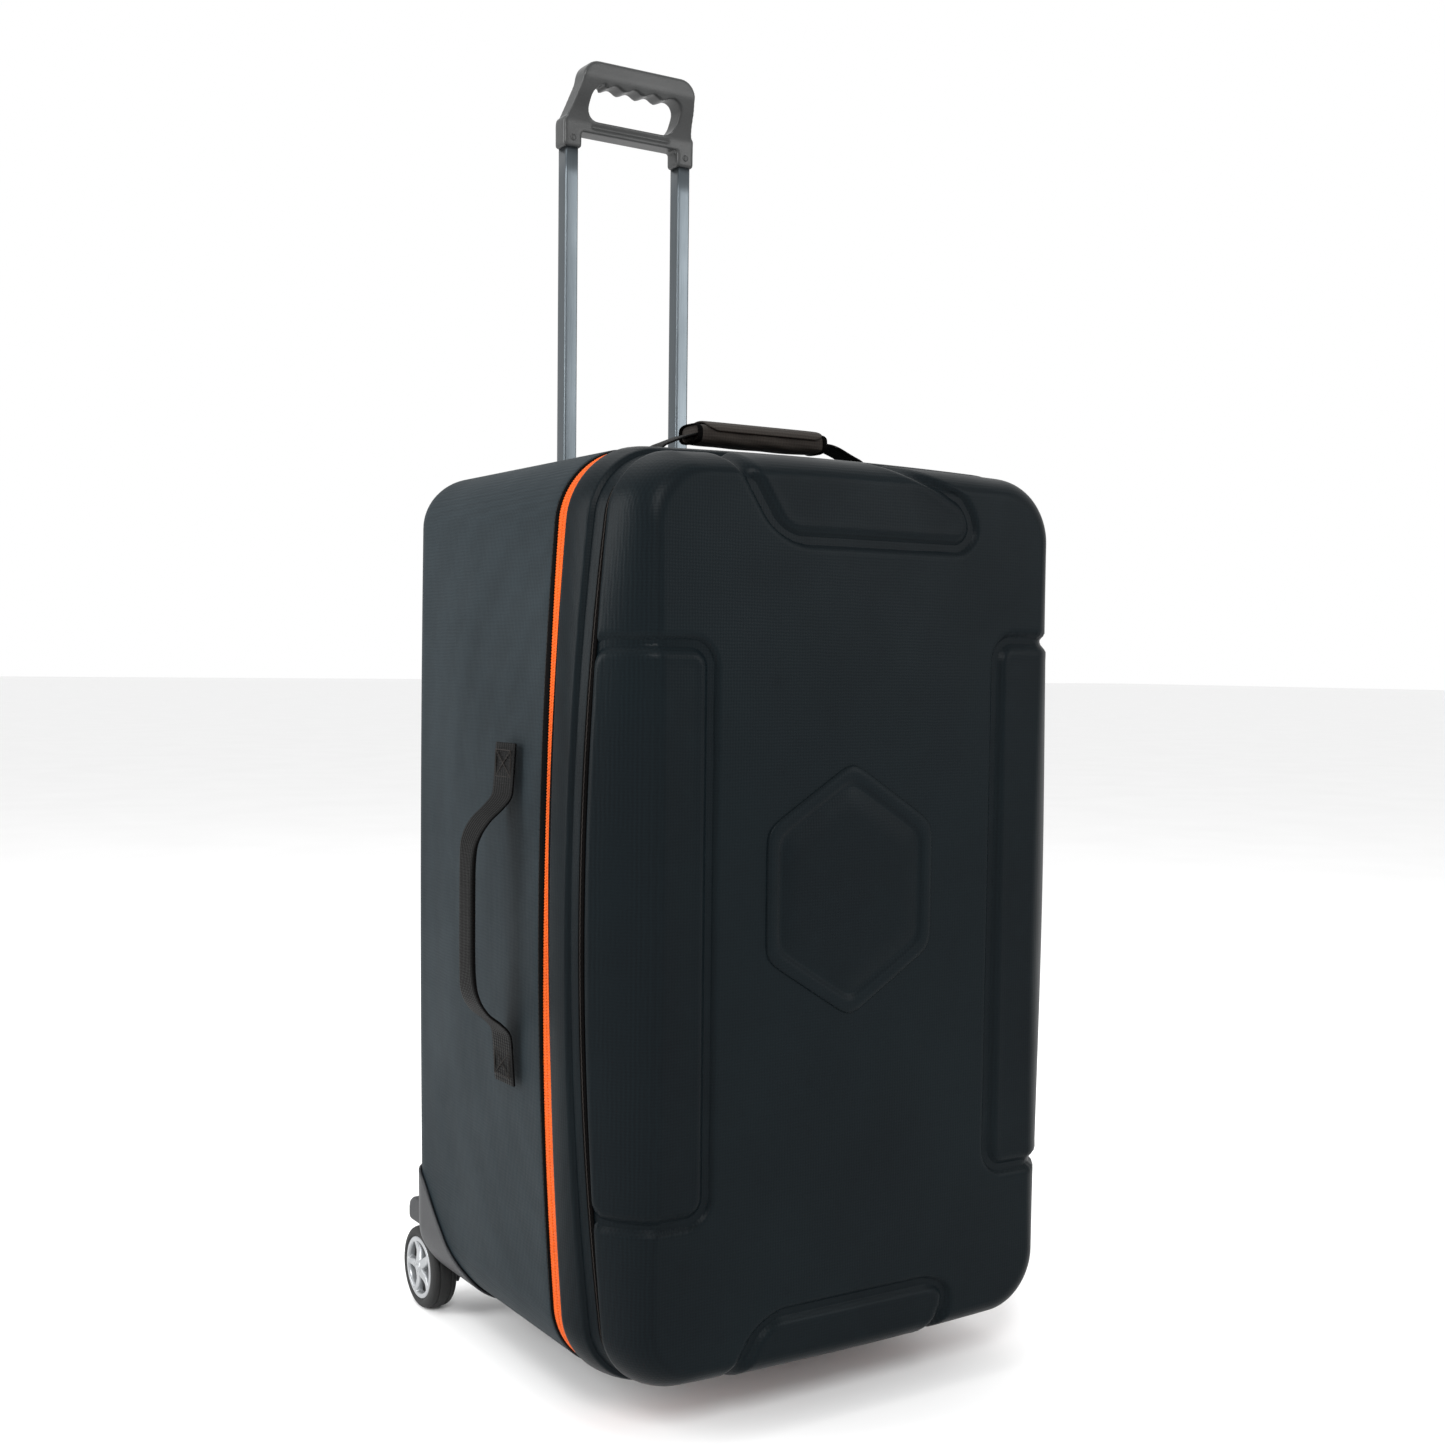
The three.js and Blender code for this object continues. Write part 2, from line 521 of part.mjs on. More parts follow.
// ---------------------------------------------------------------- wheels and feet
// The housing caps the tray's lower rear corner, lines the wheel well and carries the
// wheel's axle on an inner cheek.
function housingSolid() {
  const skin = cutAway(rearEnvelope(HOUSING_WALL, RIM_Y, 5), rearEnvelope(GAP, RIM_Y - 1, 5));
  const region = extrudeX([[150, 20], [352, 20], [352, 146], [300, 146], [262, 116], [216, 81], [178, 71.5],
    [162, 71], [150, 60]], [HOUSING_INNER_X, 300]);
  const cap = skin.intersect(region);
  const wellOuter = barX(WELL_RADIUS + HOUSING_WALL, [WELL_INNER_X - HOUSING_WALL, 232], WHEEL.y, WHEEL.z, 36);
  const wellInner = barX(WELL_RADIUS, [WELL_INNER_X, 260], WHEEL.y, WHEEL.z, 36);
  const envelope = rearEnvelope(HOUSING_WALL, RIM_Y, 5);
  const well = wellOuter.intersect(envelope);
  // Fender: a short arch over the back of the wheel.
  const arch = cutAway(
    barX(WELL_RADIUS + HOUSING_WALL, [WELL_INNER_X - HOUSING_WALL, 214], WHEEL.y, WHEEL.z, 36),
    box([100, 300], [200, WHEEL.y - 4], [-20, 200]),
    box([100, 300], [200, 420], [-20, WHEEL.z + 36]));
  // Inner cheek reaching down to the axle.
  const cheekOutline = [[WHEEL.y - 44, 62], [WHEEL.y - 16, 30], [WHEEL.y - 8, 24], [WHEEL.y + 8, 24],
    [WHEEL.y + 15, 32], [WHEEL.y + 17, 46], [WHEEL.y + 10, 84], [WHEEL.y - 20, 88]];
  const cheek = extrudeX(cheekOutline, [WELL_INNER_X - HOUSING_WALL, WELL_INNER_X]);
  const boss = barX(10, [WELL_INNER_X - HOUSING_WALL, WELL_INNER_X + 3], WHEEL.y, WHEEL.z, 24);
  const axleHole = barX(AXLE_RADIUS + GAP, [100, 300], WHEEL.y, WHEEL.z, 24);
  const body = unite(cutAway(unite(cap, well, arch), wellInner), cheek, boss);
  return cutAway(body, axleHole, rearEnvelope(GAP, RIM_Y, 5).subtract(barX(
    WELL_RADIUS + HOUSING_WALL + GAP / 2, [WELL_INNER_X - HOUSING_WALL - GAP / 2, 300], WHEEL.y, WHEEL.z, 36)));
}

// A ring profile turned about the wheel's axis, which runs along X.
function turned(profile, segments = 36) {
  const geometry = new THREE.LatheGeometry(profile.map(([r, x]) => new THREE.Vector2(r, x)), segments);
  geometry.rotateZ(-Math.PI / 2);
  geometry.translate(0, WHEEL.y, WHEEL.z);
  return solid(geometry);
}

function buildWheels() {
  const housing = housingSolid();
  const outer = WHEEL.x;
  const inner = WHEEL.x - WHEEL.width;
  const SHOULDER = 4;
  const tyre = turned([[WHEEL.rim + GAP, inner], [WHEEL.radius - SHOULDER, inner],
    [WHEEL.radius, inner + SHOULDER], [WHEEL.radius, outer - SHOULDER],
    [WHEEL.radius - SHOULDER, outer], [WHEEL.rim + GAP, outer], [WHEEL.rim + GAP, inner]]);
  const drum = turned([[0, inner + 2], [WHEEL.rim, inner + 2], [WHEEL.rim, outer - 0.5], [WHEEL.rim - 4, outer - 0.5],
    [WHEEL.rim - 4, outer - 6], [9, outer - 6], [9, outer - 2], [0, outer - 2]]);
  const spokes = [];
  const SPOKES = 5;
  for (let i = 0; i < SPOKES; i += 1) {
    const angle = (Math.PI * 2 * i) / SPOKES;
    const length = WHEEL.rim - 9.5;
    const bar = new THREE.BoxGeometry(5, 9, length);
    bar.translate(outer - 3.6, 0, length / 2 + 7.5);
    bar.rotateX(angle);
    bar.translate(0, WHEEL.y, WHEEL.z);
    spokes.push(solid(bar));
  }
  const bore = barX(AXLE_RADIUS + 0.1, [inner - 10, outer + 10], WHEEL.y, WHEEL.z, 24);
  const hub = cutAway(unite(drum, ...spokes), bore);
  const capSolid = barX(6.5, [outer - 2 + GAP, outer + 0.4], WHEEL.y, WHEEL.z, 20);
  const axle = unite(
    barX(AXLE_RADIUS, [WELL_INNER_X - HOUSING_WALL - 4, outer - 2], WHEEL.y, WHEEL.z, 24),
    barX(7, [WELL_INNER_X - HOUSING_WALL - 6, WELL_INNER_X - HOUSING_WALL - GAP], WHEEL.y, WHEEL.z, 6));
  for (const [side, sign] of SIDES) {
    addPiece(`wheel_housing_${side}`, onSide(housing, sign), FINISH.housing);
    addPiece(`tyre_${side}`, onSide(tyre, sign), FINISH.tyre);
    addPiece(`wheel_hub_${side}`, onSide(hub, sign), FINISH.hub);
    addPiece(`hub_cap_${side}`, onSide(capSolid, sign), FINISH.hub);
    addPiece(`wheel_axle_${side}`, onSide(axle, sign), FINISH.steel);
  }
}

function buildFeet() {
  const lowest = outlineBottomAt(FOOT.y, FOOT.x);
  const profile = [[0, 0], [FOOT.bottom / 2, 0], [FOOT.bottom / 2 + 1.5, 2], [FOOT.top / 2, lowest - 4],
    [FOOT.top / 2, lowest + 6], [0, lowest + 6]];
  for (const [side, sign] of SIDES) {
    const geometry = new THREE.LatheGeometry(profile.map(([r, z]) => new THREE.Vector2(r, z)), 24);
    geometry.rotateX(Math.PI / 2);
    geometry.translate(sign * FOOT.x, FOOT.y, 0);
    const foot = cutAway(solid(geometry), rearEnvelope(GAP, RIM_Y, 5));
    addPiece(`foot_${side}`, foot, FINISH.housing);
  }
}

// Height of the tray's underside at a place behind the zip.
function outlineBottomAt(y, x) {
  const spec = rearSpec(y);
  return MID - spec.height - spec.bulgeZ * (1 - (x / spec.width) ** 2);
}

// Height of the tray's top at a place behind the zip.
const outlineTopAt = (y, x) => 2 * MID - outlineBottomAt(y, x);

// ---------------------------------------------------------------- carrying handles
// An even S-curve from 0 to 1.
const smooth = (t) => t * t * (3 - 2 * t);
const SPLIT = 0.55; // where a handle's fixed ends meet the part that swings
const SPLIT_GAP = 0.06;

// A flat strip of webbing that follows points in the XZ plane.
function webStrip(centre, thick, yRange) {
  const upper = [];
  const lower = [];
  centre.forEach(([u, v], i) => {
    const [u0, v0] = centre[Math.max(i - 1, 0)];
    const [u1, v1] = centre[Math.min(i + 1, centre.length - 1)];
    const length = Math.hypot(u1 - u0, v1 - v0);
    const nu = (-(v1 - v0) / length) * (thick / 2);
    const nv = ((u1 - u0) / length) * (thick / 2);
    upper.push([u + nu, v + nv]);
    lower.push([u - nu, v - nv]);
  });
  return extrudeY([...lower, ...upper.reverse()], yRange);
}

function buildTopHandle() {
  const top = outlineTopAt(HANDLE_Y, 0);
  const endTop = outlineTopAt(HANDLE_Y, TOP_HANDLE.half);
  const web = [HANDLE_Y - TOP_HANDLE.web / 2, HANDLE_Y + TOP_HANDLE.web / 2];
  // Sewn tabs at both ends, lying on the tray.
  for (const [side, sign] of SIDES) {
    const range = [sign * (TOP_HANDLE.half + 1), sign * (TOP_HANDLE.half + 34)].sort((a, b) => a - b);
    const tab = box(range, web, [endTop - 12, endTop + 3.2]);
    addPiece(`top_handle_tab_${side}`, cutAway(tab, rearEnvelope(GAP, RIM_Y, 5)), FINISH.webbing);
  }
  // The webbing rises from the tabs in two S-curves and runs level through the wrap.
  const level = top + TOP_HANDLE.stand;
  const low = endTop + 2;
  const rise = (from, to, steps) => {
    const points = [];
    for (let i = 0; i <= steps; i += 1) {
      const t = between(from, to, i / steps);
      const x = between(-TOP_HANDLE.half + 1, -TOP_HANDLE.wrapHalf - 2, t);
      points.push([x, between(low, level, smooth(t))]);
    }
    return points;
  };
  const mirrored = (points) => points.map(([x, z]) => [-x, z]).reverse();
  // Each end stays with its tab as far up as SPLIT; the part between swings.
  const moving = rise(SPLIT + SPLIT_GAP, 1, 3);
  addPiece('top_handle_webbing', webStrip([...moving, ...mirrored(moving)], TOP_HANDLE.thick, web),
    FINISH.webbing);
  const end = rise(0, SPLIT, 4);
  addPiece('top_handle_end_left', webStrip(end, TOP_HANDLE.thick, web), FINISH.webbing);
  addPiece('top_handle_end_right', webStrip(mirrored(end), TOP_HANDLE.thick, web), FINISH.webbing);

  const yRange = [HANDLE_Y - WRAP.depth / 2, HANDLE_Y + WRAP.depth / 2];
  const halfHeight = WRAP.height / 2;
  const wrapProfile = roundedRect(HANDLE_Y, level, WRAP.depth / 2, halfHeight, 8);
  const wrap = cutAway(extrudeX(wrapProfile, [-TOP_HANDLE.wrapHalf, TOP_HANDLE.wrapHalf]),
    box([-90, 90], [web[0] - GAP, web[1] + GAP],
      [level - TOP_HANDLE.thick / 2 - GAP, level + TOP_HANDLE.thick / 2 + GAP]));
  addPiece('top_handle_wrap', wrap, FINISH.wrapFabric);
  const flap = box([-TOP_HANDLE.wrapHalf - 1, TOP_HANDLE.wrapHalf + 1], [yRange[0] + 1, yRange[1] - 5],
    [level + halfHeight + GAP, level + halfHeight + GAP + 2]);
  addPiece('top_handle_flap', flap, FINISH.wrapFabric);
}

function roundedRect(cu, cv, halfU, halfV, radius) {
  const STEPS = 3;
  const points = [];
  [[1, -1, -0.5], [1, 1, 0], [-1, 1, 0.5], [-1, -1, 1]].forEach(([su, sv, quarter]) => {
    for (let i = 0; i <= STEPS; i += 1) {
      const angle = Math.PI * (quarter + (0.5 * i) / STEPS);
      points.push([cu + su * (halfU - radius) + radius * Math.cos(angle),
        cv + sv * (halfV - radius) + radius * Math.sin(angle)]);
    }
  });
  return points;
}

function buildSideStrap() {
  const yRange = [HANDLE_Y - SIDE_STRAP.width / 2, HANDLE_Y + SIDE_STRAP.width / 2];
  const sideAt = (z) => zipHalfWidthAt(z) + 0.4;
  const tabs = [['upper', SIDE_STRAP.top, SIDE_STRAP.top + SIDE_STRAP.tab],
    ['lower', SIDE_STRAP.bottom - SIDE_STRAP.tab, SIDE_STRAP.bottom]];
  for (const [name, z0, z1] of tabs) {
    const block = box([-(sideAt((z0 + z1) / 2) + 3), -220], [HANDLE_Y - 17, HANDLE_Y + 17], [z0 + 1, z1 - 1]);
    addPiece(`side_strap_tab_${name}`, cutAway(block, rearEnvelope(GAP, RIM_Y, 5)), FINISH.webbing);
  }
  // The strap bows out from both tabs: S-curved ends and a flat middle. The ends stay with
  // their tabs and the middle swings.
  const BOW_HEIGHT = 62;
  const root = sideAt(SIDE_STRAP.top) + 1;
  const bow = (edge, direction, from, to, steps) => {
    const points = [];
    for (let i = 0; i <= steps; i += 1) {
      const t = between(from, to, i / steps);
      points.push([-between(root, SIDE_STRAP.reach, smooth(t)), edge + direction * (1 + BOW_HEIGHT * t)]);
    }
    return points;
  };
  const { top, bottom, thick } = SIDE_STRAP;
  const middle = [...bow(top, -1, SPLIT + SPLIT_GAP, 1, 4), ...bow(bottom, 1, SPLIT + SPLIT_GAP, 1, 4).reverse()];
  addPiece('side_strap', webStrip(middle, thick, yRange), FINISH.webbing);
  addPiece('side_strap_end_upper', webStrip(bow(top, -1, 0, SPLIT, 5), thick, yRange), FINISH.webbing);
  addPiece('side_strap_end_lower', webStrip(bow(bottom, 1, 0, SPLIT, 5), thick, yRange), FINISH.webbing);
}

buildRearTray();
buildLid();
buildZipAndHinge();
buildSliders();
buildHandleGuides();
buildPullHandle();
buildWheels();
buildFeet();
buildTopHandle();
buildSideStrap();

// Centre of the footprint, which the origin is moved to.
const bounds = new THREE.Box3().setFromObject(equipmentCase);
equipmentCase.position.set(-(bounds.min.x + bounds.max.x) / 2, -(bounds.min.y + bounds.max.y) / 2, 0);

const part = new THREE.Group();
part.add(equipmentCase);
export default part;
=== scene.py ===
"""Looks of a tall wheeled equipment case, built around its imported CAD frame.

Every shape is laid out in the case's own directions: x from its centre plane to the right,
y from the zip line to the back, and z from the floor. CaseFrame turns these into the frame's
metres. Each sub-assembly is a class with a build method, and each finish is a small class.
"""
import logging
import math
from dataclasses import dataclass, field
from enum import Enum
from typing import Callable, Sequence

import bmesh
import bpy
import numpy as np
from mathutils import Matrix, Vector


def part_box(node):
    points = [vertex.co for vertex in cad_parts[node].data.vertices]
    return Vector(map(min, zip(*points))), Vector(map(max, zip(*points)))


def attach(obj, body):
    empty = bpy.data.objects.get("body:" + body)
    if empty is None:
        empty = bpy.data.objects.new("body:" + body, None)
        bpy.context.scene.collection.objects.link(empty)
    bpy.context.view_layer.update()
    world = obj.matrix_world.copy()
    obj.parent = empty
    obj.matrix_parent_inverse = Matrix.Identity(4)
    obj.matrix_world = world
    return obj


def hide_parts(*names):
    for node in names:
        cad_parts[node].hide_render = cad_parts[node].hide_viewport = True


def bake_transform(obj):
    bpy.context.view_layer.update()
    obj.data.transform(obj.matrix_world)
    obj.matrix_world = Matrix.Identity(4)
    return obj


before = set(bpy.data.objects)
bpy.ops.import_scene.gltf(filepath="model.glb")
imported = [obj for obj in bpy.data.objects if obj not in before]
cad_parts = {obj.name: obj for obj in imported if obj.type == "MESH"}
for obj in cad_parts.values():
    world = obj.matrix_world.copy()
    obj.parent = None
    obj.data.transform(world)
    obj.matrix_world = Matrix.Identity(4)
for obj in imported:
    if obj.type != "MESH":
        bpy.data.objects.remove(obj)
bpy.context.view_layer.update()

LOG = logging.getLogger("case")
Array = np.ndarray
MM = 0.001
TAU = 2.0 * math.pi


# ---------------------------------------------------------------- where the case stands
@dataclass(frozen=True)
class CaseFrame:
    """Where the case's own directions start in the frame, in metres."""

    centre_x: float
    zip_y: float
    mid_z: float

    @classmethod
    def from_frame(cls) -> "CaseFrame":
        """Reads the centre plane, zip line and middle height from the CAD boxes.

        Returns:
            The frame of the case.
        """
        low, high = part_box("rear_shell")
        rear_zip, lid_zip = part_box("rear_zip_chain"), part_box("lid_zip_chain")
        return cls((low[0] + high[0]) / 2, (rear_zip[0][1] + lid_zip[1][1]) / 2, (low[2] + high[2]) / 2)

    def place(self, points: Array) -> Array:
        """Moves points from the case's directions into the frame.

        Args:
            points: Rows of x, y, z in metres.
        Returns:
            The same rows, in the frame.
        """
        return np.asarray(points, float) + np.array([self.centre_x, self.zip_y, 0.0])


CASE = CaseFrame.from_frame()


# ---------------------------------------------------------------- meshes from grids
class Closing(Enum):
    """Which directions of a grid meet themselves."""

    NONE = 0
    AROUND = 1
    BOTH = 2


def lengths_along(points: Array, closed: bool) -> Array:
    """Running length along rows of points, averaged over the other direction.

    Args:
        points: Grid of points; the length runs along its second axis.
        closed: True if the last column joins the first.
    Returns:
        One length per column, and one more for the joining column if closed.
    """
    if closed:
        points = np.concatenate([points, points[:, :1]], axis=1)
    steps = np.linalg.norm(np.diff(points, axis=1), axis=2).max(axis=0)
    return np.concatenate([[0.0], np.cumsum(steps)])


def surface(name: str, points: Array, closing: Closing = Closing.AROUND) -> bpy.types.Object:
    """Makes a smooth mesh from a grid of points, with its UV map in metres.

    Rows run along the profile and columns around it. A row or column drawn together to one
    point is welded into a pole, and faces that end up looking inwards are turned.

    Args:
        name: The piece's name.
        points: Grid of shape (rows, columns, 3), in the case's directions.
        closing: Which directions of the grid meet themselves.
    Returns:
        The new object, at the origin.
    """
    rows, columns = points.shape[:2]
    around = closing is not Closing.NONE
    ring = closing is Closing.BOTH
    row_index = np.arange(rows if ring else rows - 1)
    column_index = np.arange(columns if around else columns - 1)
    r, c = np.meshgrid(row_index, column_index, indexing="ij")
    corners = [(r, c), (r, c + 1), (r + 1, c + 1), (r + 1, c)]
    quads = np.stack([(a % rows) * columns + b % columns for a, b in corners], axis=-1).reshape(-1, 4)
    across = lengths_along(points, around)
    down = lengths_along(points.transpose(1, 0, 2), ring)
    uv = np.stack([np.stack([across[b], down[a]], axis=-1) for a, b in corners], axis=-2).reshape(-1, 2)
    mesh = bpy.data.meshes.new(name)
    mesh.vertices.add(rows * columns)
    mesh.vertices.foreach_set("co", CASE.place(points.reshape(-1, 3)).ravel())
    mesh.loops.add(quads.size)
    mesh.loops.foreach_set("vertex_index", quads.ravel().astype(np.int32))
    mesh.polygons.add(len(quads))
    mesh.polygons.foreach_set("loop_start", np.arange(0, quads.size, 4, dtype=np.int32))
    mesh.update(calc_edges=True)
    layer = mesh.uv_layers.new(name="UVMap")
    layer.data.foreach_set("uv", uv.ravel().astype(np.float32))
    return finish_mesh(name, mesh)


def reshape(made: bpy.types.Object, change: Callable[[Array], Array]) -> bpy.types.Object:
    """Moves the points of a made piece by a function of all of them at once.

    Args:
        made: The piece.
        change: Takes rows of points in the frame and gives the new ones.
    Returns:
        The same piece.
    """
    mesh = made.data
    flat = np.empty(len(mesh.vertices) * 3)
    mesh.vertices.foreach_get("co", flat)
    mesh.vertices.foreach_set("co", change(flat.reshape(-1, 3)).ravel())
    mesh.update()
    return made


def capped(name: str, rows: Array) -> bpy.types.Object:
    """Makes a tube of closed rings solid by drawing each end together at its middle."""
    first, last = (np.broadcast_to(row.mean(axis=0), rows[:1].shape) for row in (rows[0], rows[-1]))
    return surface(name, np.concatenate([first, rows, last]))


def linked(name: str, work: bmesh.types.BMesh, mesh: bpy.types.Mesh) -> bpy.types.Object:
    """Writes edited geometry to a mesh, shades it smooth and puts it in the scene.

    Args:
        name: The piece's name.
        work: The edited geometry, which is freed.
        mesh: The mesh that takes it.
    Returns:
        The new object.
    """
    work.to_mesh(mesh)
    work.free()
    mesh.polygons.foreach_set("use_smooth", np.ones(len(mesh.polygons), bool))
    made = bpy.data.objects.new(name, mesh)
    bpy.context.collection.objects.link(made)
    return made


def finish_mesh(name: str, mesh: bpy.types.Mesh) -> bpy.types.Object:
    """Welds a mesh, turns it outwards, shades it smooth and puts it in the scene.

    Args:
        name: The piece's name.
        mesh: The mesh as built.
    Returns:
        The new object.
    """
    work = bmesh.new()
    work.from_mesh(mesh)
    bmesh.ops.remove_doubles(work, verts=work.verts, dist=1e-6)
    bmesh.ops.dissolve_degenerate(work, edges=work.edges, dist=1e-7)
    if work.calc_volume(signed=True) < 0:
        bmesh.ops.reverse_faces(work, faces=work.faces)
    return linked(name, work, mesh)


def finished(made: bpy.types.Object) -> bpy.types.Object:
    """Applies every modifier of an object to its mesh.

    Args:
        made: The object.
    Returns:
        The same object, without modifiers.
    """
    bpy.context.view_layer.update()
    graph = bpy.context.evaluated_depsgraph_get()
    mesh = bpy.data.meshes.new_from_object(made.evaluated_get(graph))
    made.modifiers.clear()
    old = made.data
    made.data = mesh
    bpy.data.meshes.remove(old)
    return made


def combined(made: bpy.types.Object, other: bpy.types.Object, operation: str) -> bpy.types.Object:
    """Applies an exact boolean of an object with another one, which is removed.

    Args:
        made: The object.
        other: The object to combine it with.
        operation: DIFFERENCE or INTERSECT.
    Returns:
        The first object.
    """
    modifier = made.modifiers.new("combine", "BOOLEAN")
    modifier.operation = operation
    modifier.solver = "EXACT"
    modifier.object = other
    finished(made)
    bpy.data.objects.remove(other)
    return made


def cut(made: bpy.types.Object, cutters: Sequence[bpy.types.Object]) -> bpy.types.Object:
    """Cuts the cutters out of an object and removes them.

    Args:
        made: The object.
        cutters: Closed objects.
    Returns:
        The object with what is left.
    """
    for cutter in cutters:
        combined(made, cutter, "DIFFERENCE")
    return made


def intersect(made: bpy.types.Object, other: bpy.types.Object) -> bpy.types.Object:
    """Keeps what an object shares with another one, which is removed."""
    return combined(made, other, "INTERSECT")


def join(name: str, parts: Sequence[bpy.types.Object]) -> bpy.types.Object:
    """Joins objects that sit at the origin into one new object.

    Args:
        name: The piece's name.
        parts: The objects, which are removed.
    Returns:
        The joined object.
    """
    work = bmesh.new()
    for part in parts:
        work.from_mesh(part.data)
        bpy.data.objects.remove(part)
    mesh = bpy.data.meshes.new(name)
    return linked(name, work, mesh)


def moulded(name: str, parts: Sequence[bpy.types.Object], voxel: float, rounds: int) -> bpy.types.Object:
    """Fuses closed solids into one moulding with softly rounded edges.

    Args:
        name: The piece's name.
        parts: Closed objects that overlap.
        voxel: Remesh size in metres.
        rounds: How often the surface is evened out; more rounds give rounder edges.
    Returns:
        The fused object.
    """
    made = join(name, parts)
    remesh = made.modifiers.new("fuse", "REMESH")
    remesh.mode = "VOXEL"
    remesh.voxel_size = voxel
    remesh.use_smooth_shade = True
    even = made.modifiers.new("even", "SMOOTH")
    even.factor = 0.5
    even.iterations = rounds
    return finished(made)


# ---------------------------------------------------------------- outlines and profiles
@dataclass(frozen=True)
class Sampling:
    """How many steps an outline takes on its corners, long sides and short sides."""

    corner: int = 16
    long: int = 90
    short: int = 60


@dataclass(frozen=True)
class Outline:
    """A section of the case seen from the front, in metres.

    It is a rounded rectangle whose sides bulge: each coordinate is stretched most where the
    other one is zero.
    """

    width: float
    bulge_x: float
    height: float
    bulge_z: float
    radius: float

    def toward(self, other: "Outline", t: float) -> "Outline":
        """The outline part of the way to another one."""
        pairs = zip(self.values(), other.values())
        return Outline(*[a + (b - a) * t for a, b in pairs])

    def values(self) -> tuple[float, ...]:
        """The five sizes in order."""
        return (self.width, self.bulge_x, self.height, self.bulge_z, self.radius)

    def ring(self, sampling: Sampling, grow: float = 0.0) -> Array:
        """Points round the outline, counter-clockwise from the right.

        Args:
            sampling: Steps on each stretch.
            grow: How far the outline is grown outwards.
        Returns:
            Rows of x and height above the case's middle.
        """
        width, height = self.width + grow, self.height + grow
        radius = max(self.radius + grow, 3 * MM)
        centre = np.array([width - radius, height - radius])
        quarter = np.linspace(0, math.pi / 2, sampling.corner + 1)
        arc = radius * np.stack([np.cos(quarter), np.sin(quarter)], axis=1)
        corners = []
        for index in range(4):
            turn = index * math.pi / 2
            spin = np.array([[math.cos(turn), math.sin(turn)], [-math.sin(turn), math.cos(turn)]])
            sign = np.array([1 if index in (0, 3) else -1, 1 if index < 2 else -1])
            corners.append(arc @ spin + sign * centre)
        stretches = []
        for index, corner in enumerate(corners):
            following = corners[(index + 1) % 4]
            steps = sampling.short if index % 2 == 0 else sampling.long
            t = np.arange(1, steps)[:, None] / steps
            stretches += [corner, corner[-1] + (following[0] - corner[-1]) * t]
        points = np.concatenate(stretches)
        x = points[:, 0] * (1 + self.bulge_x / width * (1 - (points[:, 1] / height) ** 2))
        z = points[:, 1] * (1 + self.bulge_z / height * (1 - (points[:, 0] / width) ** 2))
        return np.stack([x, z], axis=1)


ZIP_LINE = Outline(227.9 * MM, 17.9 * MM, 380.0 * MM, 5.0 * MM, 59.5 * MM)
GROOVE = Outline(214.9 * MM, 27.3 * MM, 373.9 * MM, 4.8 * MM, 48.9 * MM)
FRONT = Outline(192.3 * MM, -5.0 * MM, 351.3 * MM, 4.8 * MM, 42.1 * MM)
BACK = Outline(222.7 * MM, 2.9 * MM, 379.7 * MM, 2.1 * MM, 48.7 * MM)
RIM_Y = 11.5 * MM
GROOVE_Y = 44.2 * MM
DOME_DEPTH = 48.7 * MM
BACK_Y = 335.7 * MM
BACK_EDGE = 42.2 * MM
WALL = 3.5 * MM
TUBE_X = 63.8 * MM
TUBE_Y = 320.75 * MM
WHEEL_Y = 331.25 * MM
WHEEL_Z = 40 * MM
AXLE = (0.0, WHEEL_Y, WHEEL_Z)
THREAD_RADIUS = 0.42 * MM
STITCH_LIFT = 0.35 * MM
# A cutter that opens a side reaches this far from the centre plane.
BEYOND = 300 * MM
Y_AXIS = np.array([0.0, 1.0, 0.0])


def ring_at(outline: Outline, sampling: Sampling, grow: float, y: float) -> Array:
    """One ring of a case surface: the outline's points at a depth y."""
    flat = outline.ring(sampling, grow)
    return np.stack([flat[:, 0], np.full(len(flat), y), flat[:, 1] + CASE.mid_z], axis=1)


def shrunk(ring: Array, share: float) -> Array:
    """A ring drawn in towards the case's middle line to a share of its size.

    Args:
        ring: Rows of points.
        share: Share of its size that is left.
    Returns:
        The smaller ring.
    """
    middle = np.array([0.0, 0.0, CASE.mid_z])
    scale = np.array([share, 1.0, share])
    return (ring - middle) * scale + middle


def rear_rows(sampling: Sampling, grow: float, start: float, side: int, edge: int, back: int) -> list[Array]:
    """Rings of the rear tray: straight sides, the rounded back edge and the back wall.

    Args:
        sampling: Steps round each ring.
        grow: How far the surface is grown outwards.
        start: Depth of the first ring behind the zip line.
        side: Rings along the sides.
        edge: Rings round the back edge.
        back: Rings across the back wall, down to the middle.
    Returns:
        The rings from the rim to the middle of the back.
    """
    straight = BACK_Y - BACK_EDGE
    rows = []
    for y in np.linspace(start, straight, side, endpoint=False):
        rows.append(ring_at(ZIP_LINE.toward(BACK, y / straight), sampling, grow, y))
    reach = BACK_EDGE + grow
    for angle in np.linspace(0, math.pi / 2, edge):
        inset = BACK_EDGE * (1 - math.cos(angle))
        spec = Outline(*BACK.values()[:4], max(BACK.radius - inset * 0.5, 5 * MM))
        rows.append(ring_at(spec, sampling, grow - reach * (1 - math.cos(angle)), straight + reach * math.sin(angle)))
    rows += [shrunk(rows[-1], share) for share in np.linspace(1, 0, back + 1)[1:]]
    return rows


def dome_spec(angle: float) -> Outline:
    """The dome's outline at an angle from the groove (0) to the front face (a quarter turn).

    Args:
        angle: The angle in radians.
    Returns:
        The outline.
    """
    spec = GROOVE.toward(FRONT, 1 - math.cos(angle))
    bulge = GROOVE.bulge_x + (FRONT.bulge_x - GROOVE.bulge_x) * math.sin(angle)
    return Outline(spec.width, bulge, spec.height, spec.bulge_z, spec.radius)


